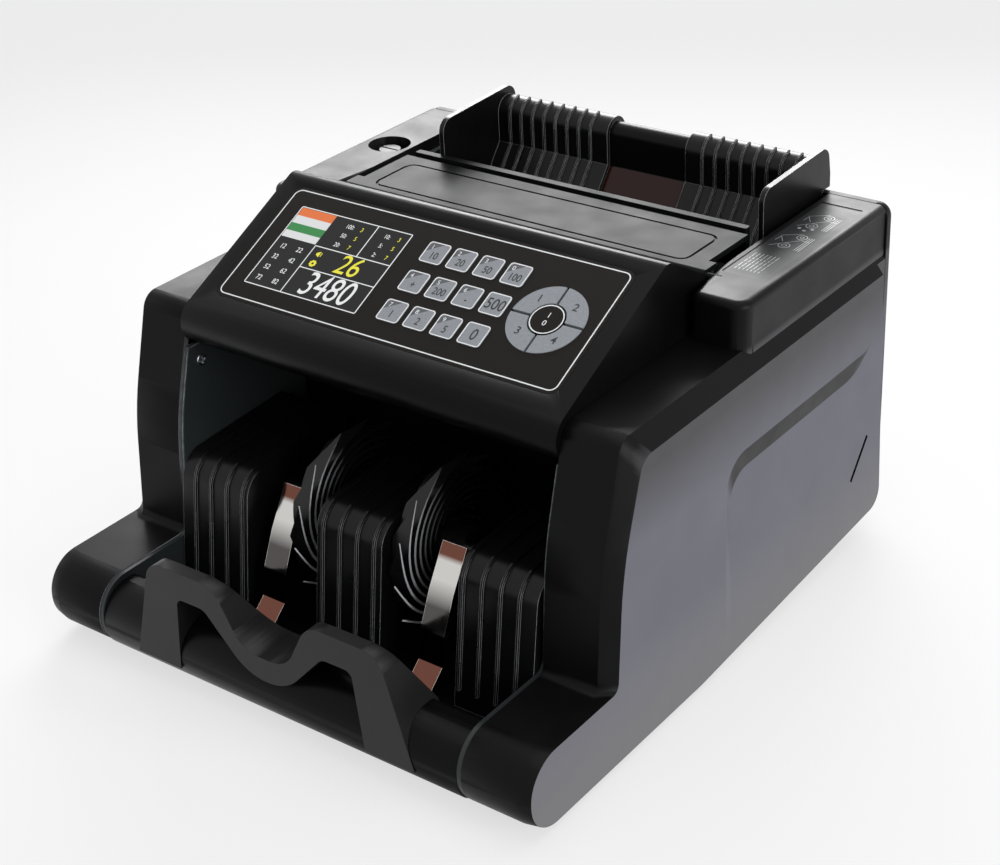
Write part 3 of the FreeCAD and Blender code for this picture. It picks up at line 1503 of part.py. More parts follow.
joined("main_board", [
    block("circuit_card", "circuit_width", "circuit_length", "board_sheet",
          CIRCUIT_X, circuit_y + " - circuit_length", card_z),
    block("circuit_stand_1", "board_stand", "board_stand", "circuit_lift",
          CIRCUIT_X + " + board_stand_inset", circuit_y + " - circuit_length + board_stand_inset", pan_top),
    block("circuit_stand_2", "board_stand", "board_stand", "circuit_lift",
          CIRCUIT_X + " + circuit_width" + far_corner, circuit_y + far_corner, pan_top),
    block("circuit_chip", "chip_side", "chip_side", "board_sheet + chip_height",
          CIRCUIT_X + " + circuit_width / 3", circuit_y + " - circuit_length * 2 / 3", card_z),
    block("circuit_plug", "plug_length", "plug_width", "board_sheet + 2 * chip_height",
          CIRCUIT_X + " + circuit_width / 5", circuit_y + " - 2 * plug_width", card_z)])


# Mains inlet with its rocker switch

inlet = new_body("inlet_socket")
left = inlet_x - s.inlet_width / 2
bottom_z = inlet_z - s.inlet_tall / 2
top_z = inlet_z + s.inlet_tall / 2
case = sketch(inlet, "Y", rounded(rectangle(left, bottom_z, left + s.inlet_width, top_z)), REAR)
pad(inlet, case, "inlet_depth", -1)
socket_left = inlet_x - s.socket_width / 2
socket_low = bottom_z + s.inlet_rim
well = rectangle(socket_left, socket_low, socket_left + s.socket_width, socket_low + s.socket_tall, s.socket_corner)
prongs = []
for dx, dz in ((-s.prong_space, -s.prong_drop), (s.prong_space, -s.prong_drop), (0.0, 2 * s.prong_drop)):
    x = inlet_x + dx
    z = socket_low + s.socket_tall / 2 + dz
    prongs += rounded(rectangle(x - s.prong_width / 2, z - s.prong_width, x + s.prong_width / 2, z + s.prong_width))
mouth = sketch(inlet, "Y", rounded(well, 2), REAR)
cut(inlet, mouth, "prong_sink", -1)
deep = sketch(inlet, "Y", rounded(well, 2) + prongs, REAR)
cut(inlet, deep, "inlet_cavity", -1)
rocker_z = top_z - s.inlet_rim - s.rocker_tall / 2 - s.rocker_gap
pocket_x = s.rocker_width / 2 + s.rocker_gap
pocket_z = s.rocker_tall / 2 + s.rocker_gap + s.rocker_room
pocket = rectangle(inlet_x - pocket_x, rocker_z - pocket_z, inlet_x + pocket_x, rocker_z + pocket_z)
rocker_well = sketch(inlet, "Y", rounded(pocket), REAR)
cut(inlet, rocker_well, "inlet_cavity", -1)
pivot_y = rear - s.rocker_depth
pivots = sketch(inlet, "X", circle(pivot_y, rocker_z, s.rocker_pin + s.shaft_gap), INLET_X)
both_ways(cut(inlet, pivots, "rocker_width + 2 * rocker_gap + 3 * rocker_pin_length"))

rocker = new_body("power_switch")
wide = s.rocker_tall / 2
narrow = wide * s.rocker_narrow
outline = [
    (-s.rocker_back, -narrow, s.rocker_edge),
    (s.rocker_face, -wide, s.rocker_edge),
    (s.rocker_face - s.rocker_dip, 0.0, 0.0),
    (s.rocker_face, wide, s.rocker_edge),
    (-s.rocker_back, narrow, s.rocker_edge),
]
rocker_side = sketch(rocker, "X", rounded(outline), "0")
both_ways(pad(rocker, rocker_side, "rocker_width"))
axle = sketch(rocker, "X", circle(0, 0, s.rocker_pin), "0")
both_ways(pad(rocker, axle, "rocker_width + 2 * rocker_gap + 2 * rocker_pin_length"))
rocker.Placement = Placement(Vector(inlet_x, pivot_y, rocker_z), Rotation(Vector(1, 0, 0), 1))
bind(rocker, "Placement.Rotation.Angle", "rocker_swing")


# Screws on the inner faces of the frames

heads = []
for i, (back, height) in enumerate([("screw_low_back", "ground_gap + screw_low_height"),
                                    ("screw_high_back", "ground_gap + body_height - screw_high_drop")]):
    for j, start in enumerate([FRAME_IN + " - screw_proud", "-1 * " + FRAME_IN]):
        heads.append(rod("screw_%d_%d" % (i + 1, j + 1), "screw_head", "screw_proud", start,
                         FRONT + " + " + back, height))
grouped("bay_screws", heads)


# Checks and export

doc.recompute()
for item in doc.Objects:
    if "Invalid" in item.State or "Error" in item.State:
        raise RuntimeError("%s did not compute: %s" % (item.Label, item.State))
for item in doc.Objects:
    if item.TypeId == "PartDesign::Pocket" and item.BaseFeature is not None:
        if item.Shape.Volume > item.BaseFeature.Shape.Volume - 1e-3:
            raise RuntimeError("%s cuts nothing" % item.Label)

os.makedirs("parts", exist_ok=True)
for node in nodes:
    shape = node.Shape
    if shape.isNull() or not shape.isValid() or shape.Volume <= 0:
        raise RuntimeError("%s has no valid shape" % node.Label)
    shape.exportStep(os.path.join("parts", node.Label + ".step"))
    size = shape.BoundBox
    reach = (size.XMin, size.XMax, size.YMin, size.YMax, size.ZMin, size.ZMax)
    numbers = (node.Label, len(shape.Solids), shape.Volume) + reach
    print("%-22s %2d solids %9.1f mm3  x %.1f %.1f  y %.1f %.1f  z %.1f %.1f" % numbers)
print(len(nodes), "nodes")
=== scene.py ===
import math

import bmesh
import bpy
from bpy.props import FloatProperty, FloatVectorProperty, PointerProperty, StringProperty
from mathutils import Matrix, Vector


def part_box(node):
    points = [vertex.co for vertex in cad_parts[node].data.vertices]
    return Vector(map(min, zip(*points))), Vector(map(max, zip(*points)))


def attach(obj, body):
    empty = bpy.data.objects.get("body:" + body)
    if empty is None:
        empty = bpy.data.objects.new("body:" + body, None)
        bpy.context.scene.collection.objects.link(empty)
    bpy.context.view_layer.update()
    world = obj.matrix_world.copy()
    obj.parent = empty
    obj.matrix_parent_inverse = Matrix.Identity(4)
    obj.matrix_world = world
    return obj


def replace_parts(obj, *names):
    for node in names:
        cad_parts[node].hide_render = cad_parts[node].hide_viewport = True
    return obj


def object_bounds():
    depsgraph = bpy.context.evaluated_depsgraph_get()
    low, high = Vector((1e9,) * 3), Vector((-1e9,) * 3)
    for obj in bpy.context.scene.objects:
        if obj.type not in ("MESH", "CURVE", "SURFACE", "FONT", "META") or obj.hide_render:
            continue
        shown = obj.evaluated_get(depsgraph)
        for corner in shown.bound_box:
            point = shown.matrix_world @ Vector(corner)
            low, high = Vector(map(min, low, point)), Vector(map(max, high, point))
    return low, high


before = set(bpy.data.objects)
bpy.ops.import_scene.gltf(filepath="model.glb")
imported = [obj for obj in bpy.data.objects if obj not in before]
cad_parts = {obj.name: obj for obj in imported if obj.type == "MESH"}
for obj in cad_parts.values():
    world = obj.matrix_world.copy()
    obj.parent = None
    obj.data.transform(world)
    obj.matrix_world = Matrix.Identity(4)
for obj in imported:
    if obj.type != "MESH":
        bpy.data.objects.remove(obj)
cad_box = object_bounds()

bl_info = {
    "name": "Banknote counter",
    "version": (1, 0, 0),
    "blender": (4, 5, 0),
    "location": "View3D > Sidebar > Counter",
    "description": "Dresses the packed banknote counter and sets up its studio",
    "category": "Object",
}

MM = 0.001


# Settings that a user would change

def length(name, description, millimetres):
    return FloatProperty(name=name, description=description, default=millimetres * MM,
                         unit="LENGTH", precision=5)


def tilt(name, description, degrees):
    return FloatProperty(name=name, description=description, default=math.radians(degrees),
                         unit="ROTATION")


def shade(name, description, code):
    return StringProperty(name=name, description=description + ", as an sRGB hex value", default=code)


class CounterSizes(bpy.types.PropertyGroup):
    edge: length("Moulded edge", "Rounding left on the edges of the mouldings", 0.5)
    border_inset: length("Border inset", "From the edge of the overlay to the printed border", 1.5)
    border_width: length("Border width", "Width of the line printed round the overlay", 0.55)
    border_corner: length("Border corner", "Radius of the printed border's corners", 3.5)
    print_height: length("Print thickness", "How far ink stands off the face that carries it", 0.03)
    print_swell: length("Bold print", "How far the strokes of a bold figure are swollen", 0.05)
    overprint: length("Overprint", "How far one ink stands above the ink that it covers", 0.01)
    key_line: length("Key outline", "Width of the pale line round each key", 0.5)
    key_round: length("Key corner", "Radius of the pale line's corners", 1.4)
    key_figure: length("Key figure", "Height of the small figure in a key's corner", 2.2)
    key_number: length("Key number", "Height of the number on a key's lower half", 3.7)
    screen_rim: length("Screen rim", "Width that the display module hides behind the overlay", 3.0)
    screen_tall: length("Screen height", "Height of the window for the display", 44.3)
    screen_line: length("Screen line", "Width of the lines that divide the shown picture", 0.45)
    screw_radius: length("Screw radius", "Radius of the screw heads on the frames", 2.6)
    screw_rise: length("Screw height", "Height of the screw heads", 0.85)
    screw_slot: length("Screw recess", "Width of the cross recess in the screws", 0.8)
    wheel_blades: length("Blade width", "Width of the blades of a wheel", 8.8)
    wheel_hub: length("Hub radius", "Radius of the hub between the blades", 13.4)
    blade_reach: length("Blade reach", "Radius at which the curl of a blade starts", 36.6)
    blade_fall: length("Blade curl", "How fast a blade winds in, for each radian", 7.6)
    blade_flick: length("Blade flick", "How far the point of a blade stands out beyond its curl", 4.2)
    blade_sheet: length("Blade thickness", "Thickness of a blade at its root", 1.2)


class CounterColours(bpy.types.PropertyGroup):
    covers: shade("Covers", "ABS of the side and rear covers in front, on top and behind", "#080809")
    # painted light greying the covers' sides, graded by height: most at the foot, less along the top band,
    # least on the blocks' sides; the coarse grain greys the flanks a little too
    flanks_painted_light: shade("Flanks", "The covers' broad sides, where the texture is coarse", "#6b6b75")
    flank_band_painted_shade: shade("Flank band", "The band along the top of the covers' sides", "#4a4a4c")
    flank_foot_painted_light: shade("Flank foot", "The foot of the covers' sides", "#767679")
    block_side_painted_shading: shade("Block sides", "Sides of the raised blocks", "#202021")
    hood: shade("Hood", "ABS of the panel housing", "#070708")
    lid: shade("Lid", "ABS of the lid and of the bar behind it", "#121313")
    polished: shade("Polished", "ABS of the hopper, the bay and their guides", "#0a0a0b")
    overlay: shade("Overlay", "Printed ground of the control panel", "#15120f")
    key: shade("Keys", "Printed ground of the keys", "#8b8f95")
    ink_white: shade("White ink", "Lines and figures on the panel", "#e6e8ea")
    ink_dark: shade("Dark ink", "Numbers on the keys", "#141516")
    ink_corner: shade("Corner ink", "Darker corners of the keys", "#4f5256")
    ink_label: shade("Label ink", "Drawings on the label", "#8f9193")
    lit_yellow: shade("Lit yellow", "Yellow figures on the display", "#f4ec2c")
    lit_white: shade("Lit white", "White figures and lines on the display", "#f2f4f5")
    label: shade("Label", "Printed ground of the label on the right block", "#2a2b2c")
    frames: shade("Side frames", "Grey paint of the side frames", "#25292a")
    stop: shade("Note stop", "ABS of the stop in front of the notes", "#19191a")
    window: shade("Hopper window", "Tint of the window in the hopper", "#2b110c")
    # painted highlight along the edges of the guides and of the wheels' blades
    edge_painted_highlight: shade("Bright edges", "Edges that the notes have polished", "#c6c8ca")


class CounterStage(bpy.types.PropertyGroup):
    camera_place: FloatVectorProperty(name="Camera place", description="Where the camera stands",
                                      default=(0.4740, -0.5848, 0.4868), unit="LENGTH", precision=4)
    azimuth: tilt("Azimuth", "How far the camera stands round to the right", 38.19)
    elevation: tilt("Elevation", "How steeply the camera looks down", 28.85)
    roll: tilt("Roll", "How far the camera leans", -3.018)
    lens: FloatProperty(name="Lens", description="Focal length on a 36 mm sensor", default=72.1,
                        unit="CAMERA")
    floor: shade("Floor", "Studio floor and backdrop", "#f4f4f4")
    floor_glow: FloatProperty(name="Floor glow", default=0.725,
                              description="Share of the floor's white that is its own light")
    sky: FloatProperty(name="Room light", description="Strength of the even light in the room",
                       default=0.62)


def settings():
    scene = bpy.context.scene
    return scene.counter_sizes, scene.counter_colours, scene.counter_stage


# Materials

# in millimetres: slow clouds of tone on a large moulding, and the width of the painted highlight on edges and
# its fade under its top
CLOUD = 45
EDGE_HIGHLIGHT = 0.3
EDGE_HIGHLIGHT_FADE = 6
# heights in millimetres from and to which the covers' sides go over to another tone of painted light or shade
FLANK_PAINTED_TONES = (("flank_foot_painted_light", 50, 12), ("flank_band_painted_shade", 92, 122), ("block_side_painted_shading", 134.5, 137))
# the same for the frames' pale edge, and for a strip: where it goes from darker to paler, and its tempered
# ends
FRAME_PALE_EDGE = 50, 62
STRIP_CLEAR = 44, 54
STRIP_ENDS = (60.5, 62.5), (23.5, 22.5)
# where a wheel's blades get a painted highlight: radii, and ways past the axis towards the bay's mouth
BLADE_HIGHLIGHT_RADII = 15, 34
BLADE_HIGHLIGHT_FRONT = 6, 26


def linear(code):
    """Linear RGBA of an sRGB hex value."""
    parts = [int(code[i:i + 2], 16) / 255 for i in (1, 3, 5)]
    return [p / 12.92 if p <= 0.04045 else ((p + 0.055) / 1.055) ** 2.4 for p in parts] + [1.0]


def per(millimetres):
    """Texture scale that gives a pattern of that size."""
    return 1 / (millimetres * MM)


def add(tree, kind, fields=None, links=None):
    """Add a node, set its fields and sockets, and link outputs to its inputs."""
    made = tree.nodes.new(kind)
    for key, value in (fields or {}).items():
        if isinstance(key, int) or key in made.inputs:
            made.inputs[key].default_value = value
        else:
            setattr(made, key, value)
    for key, source in (links or {}).items():
        tree.links.new(source, made.inputs[key])
    return made


def made_once(fill):
    """Let a function that fills a node tree give the material of a name, filled the first time."""
    def give(name=fill.__name__, *values, **named):
        if name not in bpy.data.materials:
            made = bpy.data.materials.new(name)
            made.use_nodes = True
            made.node_tree.nodes.clear()
            fill(made.node_tree, *values, **named)
        return bpy.data.materials[name]
    return give


def shader(tree, fields, links):
    """Surface of a material, joined to its output."""
    surface = add(tree, "ShaderNodeBsdfPrincipled", fields, links)
    add(tree, "ShaderNodeOutputMaterial", None, {"Surface": surface.outputs[0]})


def here(tree):
    """A point on the object, in its own space."""
    return add(tree, "ShaderNodeTexCoord").outputs["Object"]


def spot(tree):
    """The x, y and z of that point."""
    return add(tree, "ShaderNodeSeparateXYZ", None, {0: here(tree)}).outputs


def facing(tree, normal):
    """The x, y and z of the way that a face looks."""
    plain = add(tree, "ShaderNodeNewGeometry")
    return add(tree, "ShaderNodeSeparateXYZ", None, {0: plain.outputs[normal]}).outputs


def speckle(tree, millimetres, detail=2.0, stretch=None):
    """Noise of a given grain, drawn out along the way that a metal was rolled where it has a stretch."""
    place = here(tree)
    if stretch:
        place = add(tree, "ShaderNodeMapping", {"Scale": stretch}, {"Vector": place}).outputs[0]
    return add(tree, "ShaderNodeTexNoise", {"Scale": per(millimetres), "Detail": detail},
               {"Vector": place}).outputs[0]


def between(tree, source, low, high, start=0.3, stop=0.7):
    """A value that runs from low to high as its source runs from start to stop."""
    return add(tree, "ShaderNodeMapRange",
               {"From Min": start, "From Max": stop, "To Min": low, "To Max": high},
               {"Value": source}).outputs[0]


def mask(tree, source, start=0.3, stop=0.7):
    """Nought to one as its source runs from start to stop."""
    return between(tree, source, 0, 1, start, stop)


def reached(tree, source, start, stop):
    """Nought to one as a length runs from start to stop, both in millimetres."""
    return mask(tree, source, start * MM, stop * MM)


def all_of(tree, whole, *others):
    """Mask that holds only where all the given masks do."""
    for other in others:
        whole = add(tree, "ShaderNodeMath", {"operation": "MULTIPLY"}, {0: whole, 1: other}).outputs[0]
    return whole


def mixed(tree, factor, first, second):
    """Colour that goes from the first to the second as the factor does."""
    made = add(tree, "ShaderNodeMix", {"data_type": "RGBA"}, {0: factor})
    for socket, colour in ((6, first), (7, second)):
        if isinstance(colour, bpy.types.NodeSocket):
            tree.links.new(colour, made.inputs[socket])
        else:
            made.inputs[socket].default_value = colour
    return made.outputs[2]


def tones(tree, source, code, change):
    """Colour that drifts a little lighter and darker about the given one."""
    base = linear(code)
    dark = [c * (1 - change) for c in base[:3]] + [1.0]
    light = [min(1.0, c * (1 + change)) for c in base[:3]] + [1.0]
    return mixed(tree, source, dark, light)


def rims(tree, millimetres):
    """One on sharp edges, fading to nought within that width."""
    turned = add(tree, "ShaderNodeBevel", {"samples": 4, "Radius": millimetres * MM})
    plain = add(tree, "ShaderNodeNewGeometry")
    bend = add(tree, "ShaderNodeVectorMath", {"operation": "DOT_PRODUCT"},
               {0: turned.outputs[0], 1: plain.outputs["True Normal"]})
    return mask(tree, bend.outputs["Value"], 0.97, 0.80)


def moulded_surface(tree, colour, roughness, grain, depth, ior=1.53, shine=0.5):
    """Shader of a moulded face: gloss that drifts, over the grain of the tool."""
    gloss = between(tree, speckle(tree, 14, 3.0), roughness * 0.88, roughness * 1.12)
    bump = add(tree, "ShaderNodeBump", {"Strength": 0.5, "Distance": depth * MM},
               {"Height": speckle(tree, grain, 1.0)})
    shader(tree, {"IOR": ior, "Specular IOR Level": shine},
           {"Base Color": colour, "Roughness": gloss, "Normal": bump.outputs[0]})


@made_once
def moulded(tree, code, roughness, grain, depth, drift=0.12, ior=1.53, shine=0.5, highlight_top=None):
    """Moulded plastic, grained by its tool; its edges get a painted highlight below a given top, if one is
    given.
    """
    colour = tones(tree, mask(tree, speckle(tree, CLOUD)), code, drift)
    if highlight_top:
        below = mask(tree, spot(tree)[2], highlight_top, highlight_top - EDGE_HIGHLIGHT_FADE * MM)
        # painted highlight on the sharp edges
        edge_highlight = all_of(tree, rims(tree, EDGE_HIGHLIGHT), below)
        colour = mixed(tree, edge_highlight, colour, linear(settings()[1].edge_painted_highlight))
    moulded_surface(tree, colour, roughness, grain, depth, ior, shine)


@made_once
def abs_spark_eroded_painted_light(tree):
    """ABS moulded in a spark-eroded tool: near black in front, with painted light greying the broad sides."""
    colours = settings()[1]
    broad = mask(tree, speckle(tree, CLOUD))
    height = spot(tree)[2]
    way = facing(tree, "Normal")
    # the sides that look left or right get painted light, a grey over the black; their coarser grain greys
    # them a little too
    square = add(tree, "ShaderNodeMath", {"operation": "ABSOLUTE"}, {0: way[0]})
    side = mask(tree, square.outputs[0], 0.80, 0.97)
    flank = tones(tree, broad, colours.flanks_painted_light, 0.06)
    # graded by height: less painted light along the top band and on the blocks' sides, more at the foot
    for name, start, stop in FLANK_PAINTED_TONES:
        flank = mixed(tree, reached(tree, height, start, stop), flank, linear(getattr(colours, name)))
    # and the ramp over the sunken field, which looks down, gets painted shade in the blocks' darker tone
    flank = mixed(tree, mask(tree, way[2], -0.04, -0.13), flank, linear(colours.block_side_painted_shading))
    colour = mixed(tree, side, tones(tree, broad, colours.covers, 0.12), flank)
    moulded_surface(tree, colour, 0.40, 0.9, 0.012, shine=0.10)


def abs_satin():
    """ABS moulded in a finely blasted tool: darker, with a softer sheen on the hood."""
    return moulded("abs_satin", settings()[1].hood, 0.34, 0.8, 0.008, shine=0.095)


def abs_lid():
    """ABS moulded in a finely blasted tool: the lid, which takes the sheen of the light behind it."""
    return moulded("abs_lid", settings()[1].lid, 0.36, 0.8, 0.008, shine=0.028)


def abs_grey():
    """ABS coloured grey in the mass: the note stop, paler than the covers, with a satin sheen."""
    return moulded("abs_grey", settings()[1].stop, 0.34, 0.8, 0.010, shine=0.25)


def abs_polished():
    """ABS from a polished tool: the hopper and the bay, nearly black."""
    return moulded("abs_polished", settings()[1].polished, 0.30, 1.2, 0.004, shine=0.1)


def abs_ribbed_painted_highlights():
    """ABS from a polished tool: guides in the hopper, with a painted highlight along all their rib edges."""
    # so high that it leaves out no edge
    top = cad_box[1].z + EDGE_HIGHLIGHT_FADE * MM
    return moulded("abs_ribbed_painted_highlights", settings()[1].polished, 0.30, 1.2, 0.004, shine=0.2, highlight_top=top)


def abs_painted_edge_highlights():
    """ABS from a polished tool: guides in the bay, with a painted highlight on their edges below their top
    bend only.
    """
    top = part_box("stacker_guide_left")[1].z - 4 * MM
    return moulded("abs_painted_edge_highlights", settings()[1].polished, 0.30, 1.2, 0.004, shine=0.2, highlight_top=top)


@made_once
def nylon_moulded(tree):
    """Nylon, moulded: the bladed wheels, waxy black, with a painted highlight on the blades' outer edges."""
    axis = centre("impeller_shaft")
    across = add(tree, "ShaderNodeVectorMath", {"operation": "MULTIPLY", 1: (0, 1, 1)}, {0: here(tree)})
    reach = add(tree, "ShaderNodeVectorMath", {"operation": "DISTANCE", 1: (0, axis.y, axis.z)},
                {0: across.outputs[0]})
    outer = reached(tree, reach.outputs["Value"], *BLADE_HIGHLIGHT_RADII)
    cut = mask(tree, facing(tree, "True Normal")[0], 0.85, 0.97)
    # the painted highlight is kept to the part of the wheel towards the bay's mouth
    lit_front = reached(tree, spot(tree)[1], *(axis.y / MM - past for past in BLADE_HIGHLIGHT_FRONT))
    black = tones(tree, mask(tree, speckle(tree, 25)), "#121213", 0.15)
    colour = mixed(tree, all_of(tree, outer, cut, lit_front), black, linear(settings()[1].edge_painted_highlight))
    moulded_surface(tree, colour, 0.27, 1.0, 0.004, shine=0.3)


def acetal_moulded():
    """Acetal, moulded: pale pulleys with a waxy surface."""
    return moulded("acetal_moulded", "#cfcdc4", 0.42, 1.2, 0.006)


def rubber_moulded():
    """Rubber, moulded and ground: dull dark grey, broken up by a coarse grain."""
    return moulded("rubber_moulded", "#2a2a2b", 0.78, 0.7, 0.05, 0.2)


def neoprene_belt():
    """Neoprene, moulded: dull black drive belts."""
    return moulded("neoprene_belt", "#1b1b1c", 0.7, 0.8, 0.03, 0.2)


def polycarbonate_film():
    """Polycarbonate film printed from behind: warm black under a clear glossy face."""
    return moulded("polycarbonate_film", settings()[1].overlay, 0.42, 6.0, 0.004, 0.06, 1.58, 0.08)


def label_film():
    """Polyester film, printed grey: the label on the right block, flat and satin."""
    return moulded("label_film", settings()[1].label, 0.38, 3.0, 0.003, 0.05, shine=0.08)


def acrylic_tinted():
    """Acrylic, cast and tinted red-brown: glossy and nearly opaque over the dark tray."""
    return moulded("acrylic_tinted", settings()[1].window, 0.16, 9.0, 0.004, 0.15, 1.49, 0.22)


def steel_black():
    """Steel sheet, powder coated black: coarser peel under the machine."""
    return moulded("steel_black", "#141415", 0.5, 1.4, 0.04, 0.1, shine=0.2)


@made_once
def key_film(tree):
    """Polycarbonate film over domes, printed grey: a smooth face with a faint metallic speckle."""
    flakes = mask(tree, speckle(tree, 0.9, 3.0))
    shader(tree, {"IOR": 1.58, "Roughness": 0.36, "Specular IOR Level": 0.3},
           {"Base Color": tones(tree, flakes, settings()[1].key, 0.09)})


@made_once
def ink(tree, code):
    """Printing ink, screened: opaque, with a slightly uneven edge to its gloss."""
    grain = speckle(tree, 0.6)
    shader(tree, {"IOR": 1.5}, {"Base Color": tones(tree, grain, code, 0.05),
                                "Roughness": between(tree, grain, 0.3, 0.45)})


def screen_ink(tone):
    """Ink of one of the tones in the settings."""
    return ink(tone + "_ink", getattr(settings()[1], "ink_" + tone))


@made_once
def lit(tree, code, strength):
    """Lit liquid crystal: the colour shines by itself, with the faint rows of its cells."""
    # cells of 0.25 mm, drawn at 0.5 mm so that they show
    cells = add(tree, "ShaderNodeTexWave", {"Scale": per(0.5) / 6.283, "bands_direction": "X"},
                {"Vector": here(tree)})
    glow = between(tree, cells.outputs[1], strength * 0.92, strength)
    shader(tree, {"Base Color": (0.01, 0.01, 0.01, 1), "Roughness": 0.2, "Emission Color": linear(code)},
           {"Emission Strength": glow})


@made_once
def float_glass(tree):
    """Float glass over the display: black, mirror-smooth, with the faintest waviness."""
    wave = speckle(tree, 18)
    bump = add(tree, "ShaderNodeBump", {"Strength": 0.2, "Distance": 0.01 * MM}, {"Height": wave})
    shader(tree, {"IOR": 1.52, "Specular IOR Level": 0.2},
           {"Base Color": tones(tree, wave, "#1f1f20", 0.06),
            "Roughness": between(tree, wave, 0.08, 0.14), "Normal": bump.outputs[0]})


@made_once
def steel_painted(tree):
    """Steel sheet, powder coated: dark grey with a fine orange peel, and pale along its edge above the foot.
    """
    # the edge is pale only above the foot, where it shows between the covers
    above = reached(tree, spot(tree)[2], *FRAME_PALE_EDGE)
    ragged = between(tree, speckle(tree, 3.0, 3.0), 0.2, 1)
    pale_edge = all_of(tree, rims(tree, 1.4), ragged, above)
    paint = tones(tree, mask(tree, speckle(tree, CLOUD)), settings()[1].frames, 0.1)
    moulded_surface(tree, mixed(tree, pale_edge, paint, linear("#9aa4a6")), 0.38, 1.6, 0.02, shine=0.3)


@made_once
def steel_spring(tree):
    """Spring steel, bright rolled and tempered: it mirrors the wheels, straw brown at its ends."""
    dull, clear, tempered, painted_glint = (linear(c) for c in ("#565352", "#d2d0cc", "#6e473c", "#f2f0ec"))
    height = spot(tree)[2]
    # darker low down and paler above, by height
    colour = mixed(tree, reached(tree, height, *STRIP_CLEAR), dull, clear)
    for end in STRIP_ENDS:
        colour = mixed(tree, reached(tree, height, *end), colour, tempered)
    # painted highlight along the strip's edges
    colour = mixed(tree, rims(tree, 0.4), colour, painted_glint)
    gloss = between(tree, speckle(tree, 1.0, 3.0, (1, 0.1, 0.1)), 0.07, 0.13)
    shader(tree, {"Metallic": 1.0}, {"Base Color": colour, "Roughness": gloss})


@made_once
def metal(tree, code, roughness, grain, stretch=None):
    """Bare metal with the direction of its rolling or turning."""
    lines = speckle(tree, grain, 3.0, stretch)
    bump = add(tree, "ShaderNodeBump", {"Strength": 0.4, "Distance": 0.004 * MM}, {"Height": lines})
    shader(tree, {"Metallic": 1.0},
           {"Base Color": tones(tree, lines, code, 0.1),
            "Roughness": between(tree, lines, roughness * 0.8, roughness * 1.25),
            "Normal": bump.outputs[0]})


def steel_ground():
    """Steel, ground: shafts with fine rings round them."""
    return metal("steel_ground", "#b4b6b8", 0.22, 0.8, (1, 0.1, 0.1))


def steel_zinc():
    """Steel screws, zinc plated: bright with a slightly blue cast."""
    return metal("steel_zinc", "#b9bec4", 0.28, 1.2)


def steel_can():
    """Steel can of the motor, zinc plated: satin grey."""
    return metal("steel_can", "#9a9da0", 0.36, 1.5)


@made_once
def laminate_green(tree):
    """Glass laminate with green solder mask: glossy, with the copper drawn faintly under it."""
    # tracks of 0.3 mm at a spacing of 1.3 mm
    tracks = add(tree, "ShaderNodeTexBrick",
                 {"Scale": per(2.6), "Mortar Size": 0.06, "Color1": linear("#1c5b38"),
                  "Color2": linear("#236a42"), "Mortar": linear("#3c8a5a")}, {"Vector": here(tree)})
    shader(tree, {"IOR": 1.5, "Roughness": 0.3}, {"Base Color": tracks.outputs[0]})


def dress(material, *nodes):
    """Give CAD nodes a material in all their slots."""
    for name in nodes:
        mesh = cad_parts[name].data
        if not mesh.materials:
            mesh.materials.append(material)
        for i in range(len(mesh.materials)):
            mesh.materials[i] = material


# Shapes

# share of a type size that its figures are high
FIGURE_SHARE = 0.72


def soften(width, *nodes, angle=30.0, segments=2):
    """Round off the sharp edges of CAD nodes for show."""
    for node in nodes:
        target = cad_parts[node]
        weld = target.modifiers.new("one_skin", "WELD")
        weld.merge_threshold = 0.002 * MM
        flat_faces = target.modifiers.new("flat_faces", "DECIMATE")
        flat_faces.decimate_type = "DISSOLVE"
        flat_faces.angle_limit = math.radians(0.5)
        edge = target.modifiers.new("soft_edges", "BEVEL")
        edge.width = width
        edge.segments = segments
        edge.limit_method = "ANGLE"
        edge.angle_limit = math.radians(angle)
        edge.use_clamp_overlap = True
        edge.harden_normals = True


def piece(name, mesh, body, material):
    """Put a mesh in the scene as a piece that rides on a CAD body."""
    made = bpy.data.objects.new(name, mesh)
    bpy.context.scene.collection.objects.link(made)
    made.data.materials.clear()
    made.data.materials.append(material)
    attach(made, body)
    return made


def centre(node):
    low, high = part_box(node)
    return (low + high) / 2


def panel_frame():
    """Matrix of the sloping panel, its origin low in the middle of the overlay, and its height."""
    up = (centre("key_1") - centre("key_7")).normalized()
    right = Vector((1, 0, 0))
    out = right.cross(up)
    low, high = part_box("keypad_overlay")
    deep, tall = high.y - low.y, high.z - low.z
    span = (deep * up.y - tall * up.z) / (up.y ** 2 - up.z ** 2)
    placed = Matrix((right, up, out)).transposed().to_4x4()
    placed.translation = Vector((0, low.y, high.z - span * up.z))
    return placed, span


def on_panel(node):
    """Centre of a node in the panel's own plane: across, up the slope, and off it."""
    return panel_frame()[0].inverted() @ centre(node)


def key_face(node):
    """Centre of a key in the panel's plane, the level of its face, and half its width."""
    placed = panel_frame()[0]
    x, y, middle = on_panel(node)
    low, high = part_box(node)
    wide = high.x - low.x
    thick = ((high.z - low.z) - wide * placed[2][1]) / placed[1][1]
    return x, y, middle + thick / 2, wide / 2


def box_loop(x0, y0, x1, y1, radius=0.0, steps=6):
    """Closed run of points round a rectangle with round corners."""
    if radius <= 0:
        return [(x0, y0), (x1, y0), (x1, y1), (x0, y1)]
    points = []
    for cx, cy, start in ((x1 - radius, y0 + radius, -90), (x1 - radius, y1 - radius, 0),
                          (x0 + radius, y1 - radius, 90), (x0 + radius, y0 + radius, 180)):
        for i in range(steps + 1):
            turn = math.radians(start + 90 * i / steps)
            points.append((cx + radius * math.cos(turn), cy + radius * math.sin(turn)))
    return points


